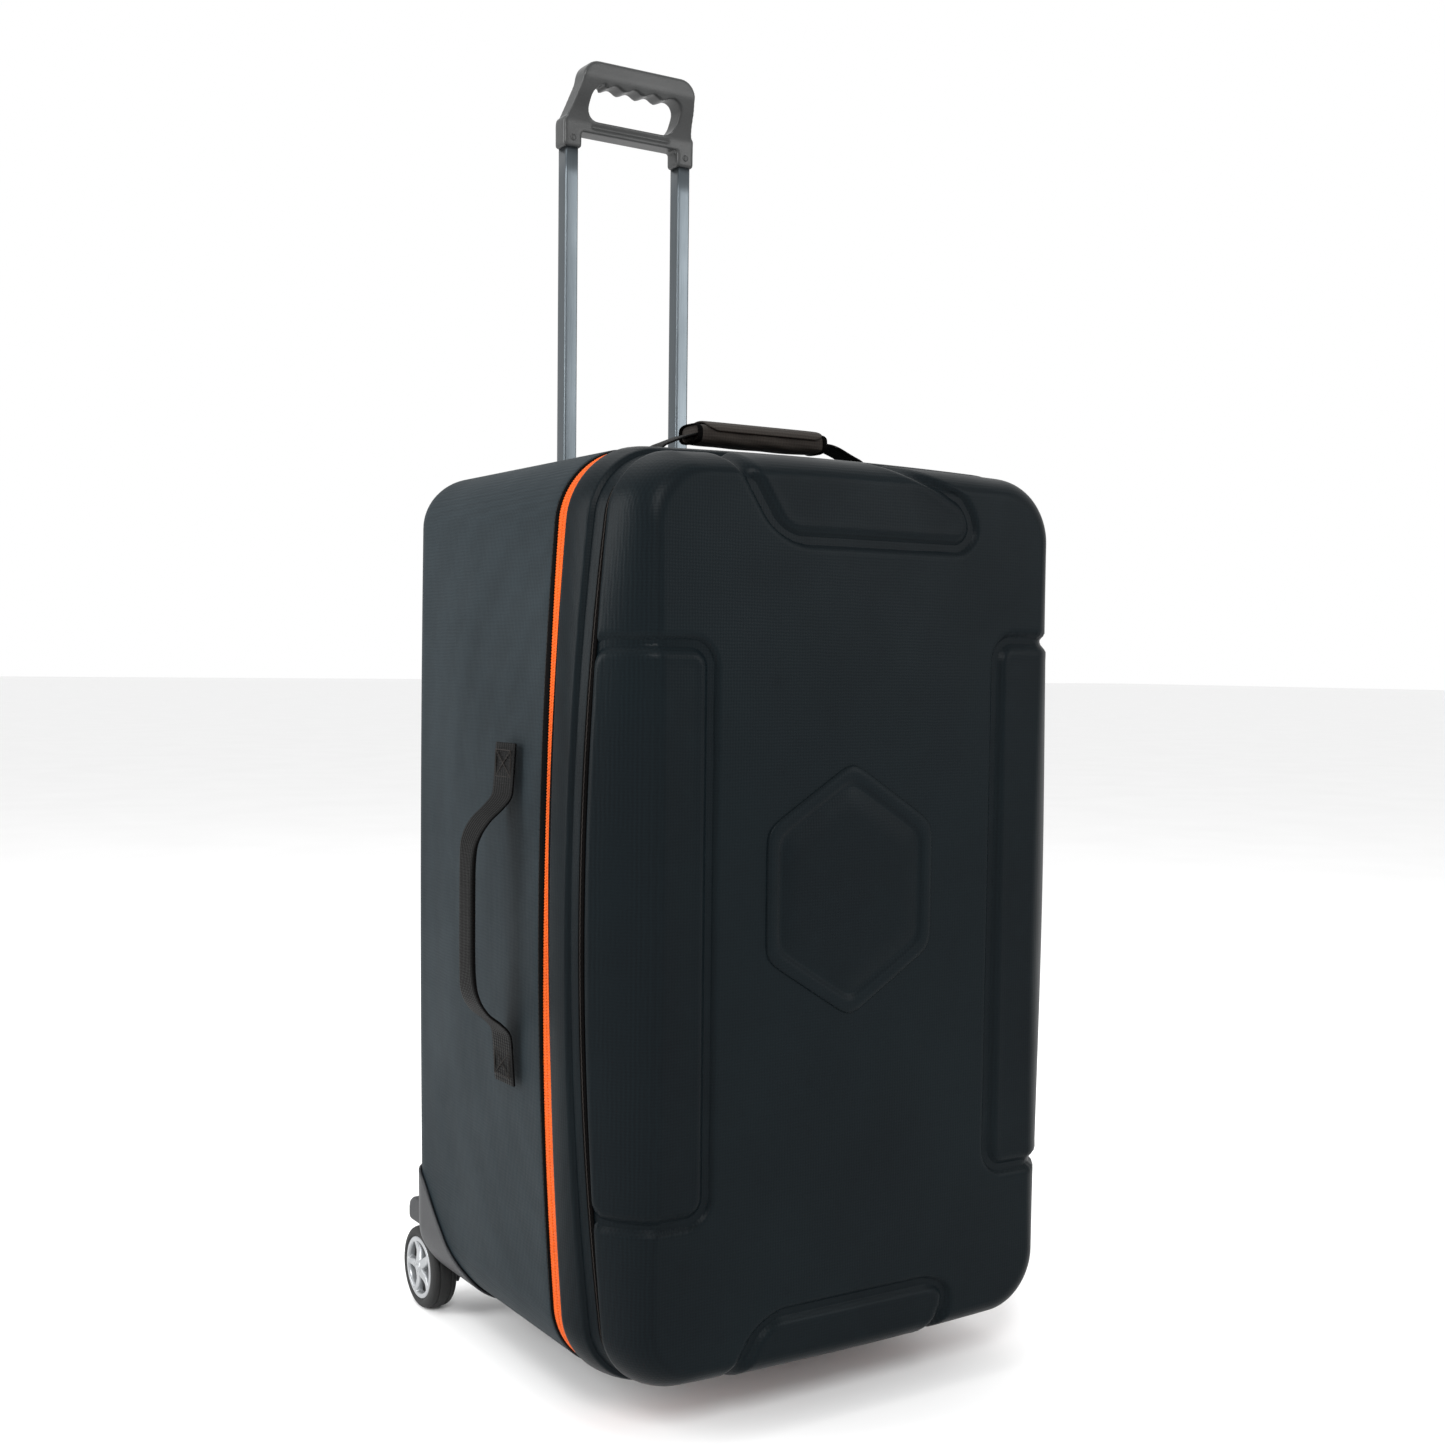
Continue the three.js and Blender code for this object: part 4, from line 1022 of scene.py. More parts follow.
@dataclass
class Lid:
    """The domed lid with its rim band, stitched channel and embossed pads."""

    pieces: Pieces
    sampling: Sampling = field(default_factory=lambda: Sampling(18, 190, 96))
    rim_start: float = 10.6 * MM
    swell: float = 1.6 * MM
    channel_half: float = 7.8 * MM
    channel_depth: float = 5.6 * MM
    pad_corner: float = 22 * MM
    pad_margin: float = -9 * MM
    pads: tuple[tuple[Edge, ...], ...] = (
        (Edge(-143 * MM, 0, -1, 0), Edge(0, 188 * MM, 0, 1), Edge(0, 652 * MM, 0, -1)),
        (Edge(140 * MM, 0, 1, 0), Edge(0, 186 * MM, 0, 1), Edge(0, 660 * MM, 0, -1)),
        (Edge(-124 * MM, 792 * MM, 0.837, 0.547), Edge(0, 730 * MM, 0, 1), Edge(117 * MM, 0, -1, 0),
         Edge(115 * MM, 772 * MM, -0.403, -0.915), Edge(-71 * MM, 700 * MM, 0, 1)),
        (Edge(-118 * MM, 62 * MM, 0.849, -0.528), Edge(0, 104.3 * MM, 0, -1),
         Edge(110 * MM, 88 * MM, -0.869, 0.496), Edge(104 * MM, 96 * MM, -0.8, -0.6)),
    )

    def rows(self, start: float, grow: float, sampling: Sampling, band: int, dome: int,
             face: Sequence[float]) -> list[Array]:
        """Rings of a lid surface from the rim to the middle of the front.

        The rim band runs evenly from the zip line to the groove and swells by a half sine.
        The dome then turns a quarter circle, and the front face is drawn in to its middle.

        Args:
            start: Distance of the first ring in front of the zip line.
            grow: How far the surface is grown outwards.
            sampling: Steps round each ring.
            band: Rings on the rim band.
            dome: Rings on the dome.
            face: Shares of the front's size for the rings on its face.
        Returns:
            The rings.
        """
        rows = []
        for y in np.linspace(start, GROOVE_Y, band, endpoint=False):
            t = max((y - RIM_Y) / (GROOVE_Y - RIM_Y), 0.0)
            rows.append(ring_at(ZIP_LINE.toward(GROOVE, t), sampling,
                                grow + self.swell * math.sin(math.pi * t), -y))
        for angle in np.linspace(0, math.pi / 2, dome):
            reach = DOME_DEPTH + grow
            rows.append(ring_at(dome_spec(angle), sampling, grow, -GROOVE_Y - reach * math.sin(angle)))
        return rows + [shrunk(rows[-1], share) for share in face]

    def channel(self, offset: Array) -> Array:
        """Depth of the stitched channel at a distance along the surface from its middle."""
        edge = 1.6 * MM
        return -self.channel_depth / (1 + np.exp((np.abs(offset) - self.channel_half) / (edge / 4)))

    def embossing(self, points: Array, inset: Array) -> Array:
        """Height of the pads' relief.

        The distance inside a pad is the smallest distance to its edges, rounded at the
        corners. Over it the surface drops steeply into a narrow line, rises gently across a
        sewn border, crests in a low ridge and settles on the raised pad.

        Args:
            points: Grid of points on the dome and front.
            inset: Distance of each along the surface from the groove.
        Returns:
            The height at each point.
        """
        knots = np.array([-4.0, -1.6, 0.0, 1.6, 4.5, 8.0, 11.0, 13.5, 20.0]) * MM
        heights = np.array([0.0, -0.9, -3.6, -5.0, -4.8, -2.4, 0.6, 1.3, 1.0]) * MM
        relief = np.zeros(points.shape[:2])
        for edges in self.pads:
            distances = [edge.distance(points[..., 0], points[..., 2]) for edge in edges]
            distances.append(inset - self.pad_margin - self.channel_half)
            short = [np.maximum(self.pad_corner - distance, 0.0) for distance in distances]
            inside = self.pad_corner - np.sqrt(sum(value ** 2 for value in short))
            relief += np.interp(inside, knots, heights)
        return relief

    def build_shell(self) -> bpy.types.Object:
        """The lid's outer skin and inner wall as one closed grid.

        Returns:
            The closed skin.
        """
        band, dome = 17, 34
        face = np.concatenate([np.linspace(1, 0.66, 44)[1:], np.linspace(0.66, 0, 15)[1:]])
        grid = np.stack(self.rows(self.rim_start, 0.0, self.sampling, band, dome, face))
        normal = np.cross(np.gradient(grid, axis=0), np.roll(grid, -1, axis=1) - np.roll(grid, 1, axis=1))
        length = np.linalg.norm(normal, axis=2, keepdims=True)
        normal = np.where(length > 1e-12, normal / np.maximum(length, 1e-12), [0.0, -1.0, 0.0])
        normal *= np.where((normal[..., 1:2] > 0.05), -1.0, 1.0)
        outwards = np.sign((normal[:band + 6] * (grid[:band + 6] - [0, 0, CASE.mid_z])).sum(axis=2, keepdims=True))
        normal[:band + 6] *= outwards
        steps = np.linalg.norm(np.diff(grid, axis=0), axis=2)
        along = np.concatenate([np.zeros((1, grid.shape[1])), np.cumsum(steps, axis=0)])
        offset = along - along[band]
        relief = self.channel(offset)
        relief[band:] += self.embossing(grid[band:], offset[band:])
        outer = grid + normal * relief[..., None]
        inner = np.stack(self.rows(self.rim_start, -WALL, self.sampling, 5, 8, np.linspace(1, 0, 4)[1:]))
        return surface("lid_skin", np.concatenate([outer[::-1], self.lip(outer[0]), inner]))

    @staticmethod
    def lip(edge: Array) -> Array:
        """Rings that roll the rim's edge over into the wall.

        Args:
            edge: The skin's ring of points at the rim.
        Returns:
            A grid of rings.
        """
        middle = np.array([0.0, 0.0, CASE.mid_z])
        direction = (edge - middle) * np.array([1.0, 0.0, 1.0])
        direction /= np.linalg.norm(direction, axis=1, keepdims=True)
        angle = np.linspace(0.35, math.pi - 0.35, 5)[:, None, None]
        radius = WALL / 2
        sign = 1.0 if edge[0, 1] < 0 else -1.0
        return (edge + direction * radius * (np.cos(angle) - 1)
                + np.array([0.0, sign, 0.0]) * radius * np.sin(angle))

    def build_channel(self) -> bpy.types.Object:
        """A crowned binding laid in the stitched channel: its near-black tape is partly the channel's black binding and
        partly painted shade for the channel's depth.

        Returns:
            The binding.
        """
        half, low, high = 7.2 * MM, -6.0 * MM, -4.0 * MM
        t = np.linspace(-1, 1, 9)
        crown = np.stack([t * half, high - 0.9 * MM * t ** 4], axis=1)
        base = np.stack([t[::-1] * half, np.full(9, low)], axis=1)
        # Near-black tape: partly the real binding, partly painted shade down in the channel.
        return ring_band("lid_channel_binding_and_painted_shade", ring_frame(GROOVE, 700, -GROOVE_Y), np.concatenate([crown, base]))

    def build_lining(self) -> bpy.types.Object:
        """Foam lining: one closed grid inside the lid.

        Returns:
            The lining.
        """
        sampling = Sampling(10, 60, 36)
        start, face = RIM_Y + 2 * MM, np.linspace(1, 0, 12)[1:]
        outer, inner = (np.stack(self.rows(start, -WALL - gap, sampling, 8, 10, face)) for gap in (0.3 * MM, 9 * MM))
        return surface("lid_foam_lining", np.concatenate([outer[::-1], inner]))

    def build_badge(self) -> bpy.types.Object:
        """A plain embossed hexagon on the front: a raised rim, a groove inside it and a flat field.

        The radius to a hexagon's side is its inner radius divided by the cosine of the angle
        from that side's middle; a power mean rounds the corners.

        Returns:
            The hexagon.
        """
        angle = np.linspace(0, TAU, 240, endpoint=False)
        sides = np.stack([np.cos(angle - k * math.pi / 3) for k in range(6)])
        reach = 1 / np.sum(np.maximum(sides, 0) ** 22, axis=0) ** (1 / 22)
        share = np.array([1.0, 0.995, 0.985, 0.95, 0.9, 0.87, 0.85, 0.82, 0.8, 0.6, 0.3, 0.0])
        rise = np.array([-0.6, 1.2, 2.0, 2.5, 2.4, 1.8, 0.4, 0.2, 0.9, 1.1, 1.1, 1.1]) * MM
        radius = 84 * MM * share[:, None] * reach
        face = -GROOVE_Y - DOME_DEPTH
        front = np.stack([-10 * MM + radius * np.cos(angle), np.broadcast_to(face - rise[:, None], radius.shape),
                          448 * MM + radius * np.sin(angle) * 1.1], axis=-1)
        back = front[:1].copy()
        back[..., 1] = face + 1.5 * MM
        pole = np.broadcast_to(back.mean(axis=1, keepdims=True), back.shape)
        return surface("lid_plain_badge", np.concatenate([front[::-1], back, pole]))

    def build(self) -> None:
        """Builds and dresses every piece of the lid."""
        self.pieces.add(self.build_shell(), LID_FABRIC, "lid_fabric", "lid", ["lid_shell"])
        self.pieces.add(self.build_channel(), BINDING, "zip_tape", "lid")
        self.pieces.add(self.build_badge(), LID_FABRIC, "lid_fabric", "lid")
        self.pieces.add(self.build_lining(), LINING_FABRIC, "lining", "lid", ["lid_lining"])
        for name, sign in (("outer", 1), ("inner", -1)):
            seam = stitched_ring(f"lid_channel_seam_{name}", GROOVE, -GROOVE_Y + sign * 4.6 * MM, -4.1 * MM)
            self.pieces.add(seam, THREAD, "zip_tape", "lid")


def stitched_ring(name: str, outline: Outline, y: float, depth: float, pitch: float = 5 * MM) -> bpy.types.Object:
    """A sewn thread round the case.

    The thread is a thin tube whose height is a half-wave rectified sine: it lies on the
    cloth for most of each stitch and dives through it between stitches.

    Args:
        name: The piece's name.
        outline: The outline that it follows.
        y: Its depth.
        depth: Height of the cloth outside the outline.
        pitch: Stitch length.
    Returns:
        The thread.
    """
    points, outward, length = ring_frame(outline, 2640, y)
    height = 0.45 * MM * np.sqrt(np.abs(np.sin(math.pi * length / pitch))) + depth
    profile = np.repeat(thread_section(THREAD_RADIUS, 5)[None], len(points), axis=0)
    profile[..., 1] += height[:, None]
    return ring_band(name, (points, outward, length), profile)


# ---------------------------------------------------------------- rear tray
@dataclass
class RearTray:
    """The deep fabric-covered tray with its lining and wheel corners."""

    pieces: Pieces
    well_radius: float = 48.5 * MM
    well_inner: float = 180.5 * MM
    fender_radius: float = 45 * MM
    cheek_inner: float = 180.8 * MM
    cheek_outer: float = 184 * MM
    housing_wall: float = 3.2 * MM
    quilting: float = 127 * MM

    def well_cutter(self, sign: int, extra: float) -> bpy.types.Object:
        """A cylinder along X that takes one wheel corner out of the tray.

        Args:
            sign: -1 on the left, 1 on the right.
            extra: How much larger it is than the well.
        Returns:
            The cylinder.
        """
        radius, near, far = self.well_radius + extra, self.well_inner - extra, BEYOND
        profile = [(0, sign * near), (radius, sign * near), (radius, sign * far), (0, sign * far)]
        return lathe_x("well", profile, AXLE, 64)

    def tube_cutter(self, sign: int) -> bpy.types.Object:
        """A block that opens the tray's top for one guide tube.

        Args:
            sign: -1 on the left, 1 on the right.
        Returns:
            The block.
        """
        half_x, half_y = 9.6 * MM, 11.0 * MM
        return rounded_box((sign * TUBE_X - half_x, TUBE_Y - half_y, 740 * MM),
                           (sign * TUBE_X + half_x, TUBE_Y + half_y, 840 * MM), 2 * MM)

    def build_shell(self) -> bpy.types.Object:
        """The tray's skin and inner wall, opened for the wheels and guide tubes.

        Returns:
            The closed skin.
        """
        sampling = Sampling(18, 70, 44)
        outer = np.stack(rear_rows(sampling, 0.0, RIM_Y + 1.4 * MM, 26, 16, 20))
        inner = np.stack(rear_rows(sampling, -WALL, RIM_Y + 1.4 * MM, 8, 8, 4))
        grid = np.concatenate([outer[::-1], Lid.lip(outer[0]), inner])
        cutters = [self.well_cutter(sign, 0.0) for _, sign in SIDES] + [self.tube_cutter(sign) for _, sign in SIDES]
        return cut(surface("rear_skin", grid), cutters)

    def build_lining(self) -> bpy.types.Object:
        """The foam lining: side walls and a quilted back pad.

        Returns:
            The lining.
        """
        sampling, front, back = Sampling(10, 60, 40), 296 * MM, 305.4 * MM
        depths = np.linspace(RIM_Y + 2 * MM, front - 6 * MM, 16)
        straight = BACK_Y - BACK_EDGE

        def ring(y: float, grow: float) -> Array:
            """One ring of the lining at a depth."""
            return ring_at(ZIP_LINE.toward(BACK, min(y / straight, 1.0)), sampling, grow, y)

        inner = [ring(y, -12.5 * MM) for y in depths]
        for angle in np.linspace(0.2, math.pi / 2, 6):
            inner.append(ring(front - 6 * MM * (1 - math.sin(angle)), -12.5 * MM - 6 * MM * (1 - math.cos(angle))))
        inner += [shrunk(inner[-1], share) for share in np.linspace(1, 0, 60)[1:]]
        grid = np.stack(inner)
        # Quilting: the pad dips along a lattice of sewn lines 90 mm apart.
        x, z = grid[22:, :, 0], grid[22:, :, 2]
        lattice = np.minimum(*(np.abs(np.sin(math.pi * diagonal / self.quilting)) for diagonal in (x + z, x - z)))
        grid[22:, :, 1] += 3.2 * MM * np.exp(-lattice / 0.12)
        outer = [ring(y, -3.8 * MM) for y in np.linspace(RIM_Y + 2 * MM, back - 12 * MM, 8)]
        outer.append(ring(back, -6.5 * MM))
        outer += [shrunk(outer[-1], share) for share in (0.5, 0.0)]
        made = surface("rear_foam_lining", np.concatenate([np.stack(outer)[::-1], grid]))
        return cut(made, [self.well_cutter(sign, 1.2 * MM) for _, sign in SIDES])

    def corner_envelope(self, grow: float, start: float) -> bpy.types.Object:
        """A closed solid of the tray's outside, fine at its corners.

        Args:
            grow: How far it stands outside the tray's surface.
            start: Depth of its front.
        Returns:
            The solid.
        """
        rows = np.stack(rear_rows(Sampling(26, 9, 9), grow, start, 9, 18, 3))
        cap = np.broadcast_to(rows[:1].mean(axis=1, keepdims=True), rows[:1].shape)
        return surface("envelope", np.concatenate([cap, rows]))

    def build_housing(self, side: str, sign: int) -> bpy.types.Object:
        """One wheel housing: a moulded skin over the corner, a fender, and a cheek for the axle.

        Args:
            side: Left or right, as in the CAD names.
            sign: -1 on the left, 1 on the right.
        Returns:
            The housing.
        """
        region = rounded_loop([(250, 20), (352, 20), (352, 146), (302, 146), (264, 112), (222, 78), (206, 66),
                               (200, 50), (200, 20), (250, 20)], 14, 6)
        skin = prism(region, (sign * 158 * MM, sign * BEYOND), 0)
        skin = intersect(skin, self.corner_envelope(self.housing_wall, RIM_Y))
        skin = cut(skin, [self.corner_envelope(0.5 * MM, -5 * MM)])
        inner, outer = self.fender_radius, self.fender_radius + self.housing_wall
        near, far, edge, beyond = (sign * x for x in (self.cheek_inner, self.cheek_outer, 214 * MM, BEYOND))
        skin = cut(skin, [lathe_x("bore", [(0, far), (inner, far), (inner, beyond), (0, beyond)], AXLE, 72)])
        well = sign * 240 * MM
        ring = lathe_x("well", [(0, near), (outer, near), (outer, well), (inner, well), (inner, far), (0, far)],
                       AXLE, 72)
        ring = intersect(ring, self.corner_envelope(self.housing_wall, RIM_Y))
        arch = lathe_x("arch", [(outer, near), (outer, edge), (inner, edge), (inner, near), (outer, near)], AXLE, 72)
        keep = rounded_box((-0.4, WHEEL_Y - 6 * MM, WHEEL_Z + 30 * MM), (0.4, 0.346, 0.2), 2 * MM)
        arch = intersect(arch, keep)
        y = WHEEL_Y / MM
        cheek = prism(rounded_loop([(y - 20, 26), (y - 8, 24), (y + 8, 24), (y + 15, 32), (y + 17, 46), (y + 10, 84),
                                    (y - 20, 88), (y - 44, 62), (y - 20, 26)], 8, 4), (near, far), 0)
        boss = lathe_x("boss", [(0, sign * 181 * MM), (10 * MM, sign * 181 * MM), (10 * MM, sign * 186.6 * MM),
                                (0, sign * 186.6 * MM)], AXLE, 32)
        # The fender's bump stands out behind the corner, over the wheel.
        bump = prism(rounded_loop([(320, 84), (352, 84), (352, 101), (341, 109), (296, 109), (296, 84), (320, 84)],
                                  5, 5), (sign * 183 * MM, sign * 217 * MM), 0)
        return moulded(f"housing_{side}", [skin, ring, arch, cheek, boss, bump], 1.25 * MM, 5)

    @staticmethod
    def build_foot(side: str) -> bpy.types.Object:
        """A turned rubber foot, scaled to its CAD box from a foot of radius 16 and height 24 mm.

        Args:
            side: Left or right, as in the CAD names.
        Returns:
            The foot.
        """
        low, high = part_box(f"foot_{side}")
        scale = np.array([(high[0] - low[0]) / 2 / 16, (high[2] - low[2]) / 24])
        profile = [(0, 24), (11, 24), (13.5, 23), (15.5, 19), (16, 12), (14.5, 3.5), (12, 0.6), (9, 0), (0, 0)]
        middle = ((low[0] + high[0]) / 2 - CASE.centre_x, (low[1] + high[1]) / 2 - CASE.zip_y, low[2])
        return lathe_z(f"rubber_foot_{side}", np.array(profile) * scale, middle)

    def build(self) -> None:
        """Builds and dresses every piece of the tray."""
        self.pieces.add(self.build_shell(), SHELL_FABRIC, "shell_fabric", "case", ["rear_shell"])
        self.pieces.add(self.build_lining(), LINING_FABRIC, "lining", "case", ["rear_lining"])
        for side, sign in SIDES:
            self.pieces.add(self.build_housing(side, sign), MOULDED, "moulded_grey", "case",
                            [f"wheel_housing_{side}"])
        for side, _ in SIDES:
            self.pieces.add(self.build_foot(side), TYRE, "tyre_rubber", "case", [f"foot_{side}"])


# ---------------------------------------------------------------- zip and hinge
@dataclass
class Zip:
    """The coil zip round the opening, its sewn tapes and the fabric hinge."""

    pieces: Pieces
    pitch: float = 2.4 * MM
    recess: float = 1.8 * MM
    hinge_half: float = 150 * MM
    hinge_x: float = 250 * MM

    def run(self, count: int) -> tuple[Array, Array, Array]:
        """Steps round the zip line that leave out the hinge, in order from its top end.

        Args:
            count: Steps round the whole zip line.
        Returns:
            Points, outward directions and running lengths.
        """
        points, outward, length = ring_frame(ZIP_LINE, count)
        hidden = (points[:, 0] > 0) & (np.abs(points[:, 2] - CASE.mid_z) < self.hinge_half + 8 * MM)
        first = int(np.flatnonzero(hidden & ~np.roll(hidden, -1))[0]) + 1
        order = (np.arange(count) + first) % count
        order = order[~hidden[order]]
        return points[order], outward[order], np.arange(len(order)) * (length[1] - length[0])

    def band(self, name: str, run: tuple[Array, Array, Array], profile: Array) -> bpy.types.Object:
        """Carries a closed profile of (y, outward) along the zip's run and closes both ends."""
        return capped(name, carried(run, profile))

    def build_chain(self, name: str, sign: int) -> bpy.types.Object:
        """One half of the coil: a rounded bead ridged once per turn of the coil.

        The bead's height and reach rise and fall with a sine of the coil's pitch, and the two
        halves are half a pitch apart so that their turns interlock at the middle.

        Args:
            name: The piece's name.
            sign: -1 for the lid, 1 for the tray.
        Returns:
            The bead.
        """
        points, outward, length = self.run(4000)
        phase = TAU * length / self.pitch + (math.pi if sign > 0 else 0)
        ridge = 0.5 + 0.5 * np.sin(phase)
        share = np.array([0.01, 0.06, 0.32, 0.7, 0.9, 0.99, 1.0, 0.01])
        width = share * self.half_width(points)[:, None]
        height = np.array([-0.9, 0.0, 0.35, 0.2, -0.1, -0.9, -2.2, -2.2]) * MM
        swing = np.array([0.5, 1.0, 1.0, 1.0, 0.7, 0.3, 0.0, 0.0]) * 0.75 * MM
        profile = np.stack([sign * width,
                            height - self.recess + swing * (ridge[:, None] - 1)], axis=-1)
        profile[:, 0, 0] -= sign * 0.3 * MM * ridge
        return self.band(name, (points, outward, length), profile)

    def half_width(self, points: Array) -> Array:
        """Half the coil's visible width: the tapes close over it where the sides bulge most."""
        squeeze = np.exp(-((points[:, 2] - 520 * MM) / (185 * MM)) ** 2)
        return (8.3 - 5.2 * squeeze) * MM

    def build_tape(self, name: str, far: float) -> bpy.types.Object:
        """A tape sewn beside the coil, slightly crowned, from the coil's edge to a distance.

        Args:
            name: The piece's name.
            far: The tape's outer edge; it is negative on the lid.
        Returns:
            The tape.
        """
        run = self.run(720)
        t = np.linspace(0, 1, 7)
        near = math.copysign(1.0, far) * self.half_width(run[0])[:, None]
        top = np.stack([near + (far - near) * t,
                        np.broadcast_to(-self.recess + 1.0 * MM * np.sin(math.pi * t) ** 0.5, (len(near), 7))], axis=-1)
        base = np.stack([near + (far - near) * t[::-1], np.full((len(near), 7), -self.recess - 1.2 * MM)], axis=-1)
        return self.band(name, run, np.concatenate([top, base], axis=1))

    def build_seam(self, name: str, y: float, height: float) -> bpy.types.Object:
        """A row of stitches along a tape.

        Args:
            name: The piece's name.
            y: Its distance from the zip line.
            height: Height of the cloth outside the outline.
        Returns:
            The thread.
        """
        points, outward, length = self.run(2400)
        lift = 0.4 * MM * np.sqrt(np.abs(np.sin(math.pi * length / (4.4 * MM)))) + height
        profile = np.repeat(thread_section(0.35 * MM, 5)[None], len(points), axis=0)
        profile[..., 0] += y
        profile[..., 1] += lift[:, None]
        return self.band(name, (points, outward, length), profile)

    def build_hinge(self) -> bpy.types.Object:
        """The fabric hinge: a flat band crossing from the tray to the lid.

        Returns:
            The band.
        """
        reach, count, slices = 24 * MM, 41, 90
        y = np.concatenate([np.linspace(-reach, reach, count), np.linspace(reach, -reach, count)])
        outer = np.repeat([0.0, -1.5], count) * MM - 0.15 * MM
        edge = np.abs(y) / reach
        x = self.hinge_x + outer - 0.5 * MM * edge ** 8 * (outer > -1 * MM)
        z = np.linspace(-self.hinge_half, self.hinge_half, slices)[:, None] + CASE.mid_z
        rows = np.stack(np.broadcast_arrays(x, y, z), axis=-1)
        return capped("hinge_fabric", rows)

    def build(self) -> None:
        """Builds and dresses the zip and hinge."""
        add = self.pieces.add
        add(self.build_chain("coil_rear", 1), ZIP_COIL, "zip_orange", "case", ["rear_zip_chain"])
        add(self.build_chain("coil_lid", -1), ZIP_COIL, "zip_orange", "lid", ["lid_zip_chain"])
        add(self.build_tape("tape_rear", 14.4 * MM), BINDING, "zip_tape", "case", ["rear_zip_tape"])
        add(self.build_tape("tape_lid", -12.4 * MM), BINDING, "zip_tape", "lid", ["lid_zip_tape"])
        add(self.build_seam("tape_rear_seam", 11.0 * MM, -1.3 * MM), THREAD, "zip_tape", "case")
        hinge = add(self.build_hinge(), WEBBING, "webbing", None, ["hinge_leaf_rear", "hinge_leaf_lid"])
        ends = CASE.place(np.array([[self.hinge_x, 6 * MM, CASE.mid_z], [self.hinge_x, -6 * MM, CASE.mid_z]]))
        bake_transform(hinge)
        Pieces.dress_kept(["zip_slider_upper", "zip_slider_lower", "zip_pull_upper", "zip_pull_lower"], SLIDER_METAL)


# ---------------------------------------------------------------- telescopic handle
@dataclass
class PullHandle:
    """The grip on two inner tubes, the top bezel and the parts inside the tray."""

    pieces: Pieces
    lean: float = 21 * MM
    thick: float = 21 * MM
    top: float = 1216.8 * MM

    def leaned(self, points: Array) -> Array:
        """Shifts points forwards by an S-curve of their height, from none to the full lean."""
        t = np.clip((points[:, 2] - 1158 * MM) / (47 * MM), 0, 1)
        return points - (self.lean * t * t * (3 - 2 * t))[:, None] * Y_AXIS

    def build_grip(self) -> bpy.types.Object:
        """The grip: an outer frame and a scalloped hand hole, fused and rounded.

        The frame is filled between its outer and inner outlines as one closed band.

        Returns:
            The grip.
        """
        half, upper, corner, top = 73.0, 63.0, 17.0, self.top / MM
        right = [(half, 1153), (half, 1160), (71.5, 1164), (69.3, 1170), (67.5, 1177), (65.5, 1187), (63.6, 1195)]
        turn = np.linspace(0, math.pi / 2, 9)
        right += [(upper - corner + corner * math.cos(a), top - corner + corner * math.sin(a)) for a in turn]
        outer = np.array(right + [(0, top)] + [(-x, z) for x, z in reversed(right)] + [(0, 1153)])
        # The hand hole, with finger scallops along its upper edge.
        t = np.linspace(0, 1, 40)
        x = 37 - 74 * t
        upper_edge = np.column_stack([x, 1196.5 - 3.4 * np.sin(3.5 * math.pi * t) ** 2])
        arc = np.linspace(0, math.pi / 2, 7)
        hole = np.concatenate([
            np.column_stack([37 + 13 * np.cos(arc), 1183.5 + 13 * np.sin(arc)]), upper_edge,
            np.column_stack([-37 - 13 * np.sin(arc), 1183.5 + 13 * np.cos(arc)]),
            np.column_stack([-37 - 13 * np.cos(arc), 1178 - 13 * np.sin(arc)]),
            np.column_stack([37 + 13 * np.sin(arc), 1178 - 13 * np.cos(arc)])])
        middle, deep = TUBE_Y, self.thick / 2
        body = prism(outer * MM, (middle - deep, middle + deep), 1, 5)
        body = cut(body, [prism(hole * MM, (middle - 50 * MM, middle + 50 * MM), 1, 5)])
        # A shallow line along the front of the lower bar.
        slot = rounded_box((-44 * MM, middle - deep - 2 * MM, 1157.5 * MM),
                           (44 * MM, middle - deep + 1.6 * MM, 1161 * MM), 1.4 * MM)
        body = cut(body, [slot])
        sockets = [rounded_box((sign * TUBE_X - 10.2 * MM, middle - deep, 1137 * MM),
                               (sign * TUBE_X + 10.2 * MM, middle + deep, 1166 * MM), 3 * MM)
                   for _, sign in SIDES]
        made = moulded("grip_moulding", [body, *sockets], 0.95 * MM, 14)
        return reshape(made, self.leaned)

    def build_tube(self, name: str, sign: int, width: float, depth: float, wall: float,
                   z_range: tuple[float, float]) -> bpy.types.Object:
        """A drawn rectangular tube with rounded corners and an open bore.

        Args:
            name: The piece's name.
            sign: -1 on the left, 1 on the right.
            width: Size along X.
            depth: Size along Y.
            wall: Thickness of the wall.
            z_range: Heights of its ends.
        Returns:
            The tube.
        """
        unit = superellipse(56, 0.2)
        rings = []
        for half, heights in ((0.0, np.linspace(*z_range, 12)), (wall, np.linspace(*z_range, 3)[::-1])):
            size = np.array([width / 2 - half, depth / 2 - half])
            flat = unit * size + np.array([sign * TUBE_X, TUBE_Y])
            rings += [np.column_stack([flat, np.full(len(flat), z)]) for z in heights]
        return surface(name, np.stack(rings), Closing.BOTH)

    def build_bezel(self) -> bpy.types.Object:
        """The moulded bezel over the tray's top rear edge, round both guide tubes.

        Returns:
            The bezel.
        """
        tray = RearTray(self.pieces)
        profile = rounded_loop([(320, 779), (337.2, 779), (337.2, 790), (335.8, 796), (331, 801.3), (305, 802),
                                (297, 800), (297, 779), (320, 779)], 5, 5)
        blank = prism(profile, (-92 * MM, 92 * MM), 0)
        holes = [rounded_box((sign * TUBE_X - 9.5 * MM, TUBE_Y - 11 * MM, 760 * MM),
                             (sign * TUBE_X + 9.5 * MM, TUBE_Y + 11 * MM, 840 * MM), 2.5 * MM)
                 for _, sign in SIDES]
        blank = cut(blank, [tray.corner_envelope(0.3 * MM, -5 * MM), *holes])
        return moulded("bezel_moulding", [blank], 1.0 * MM, 4)

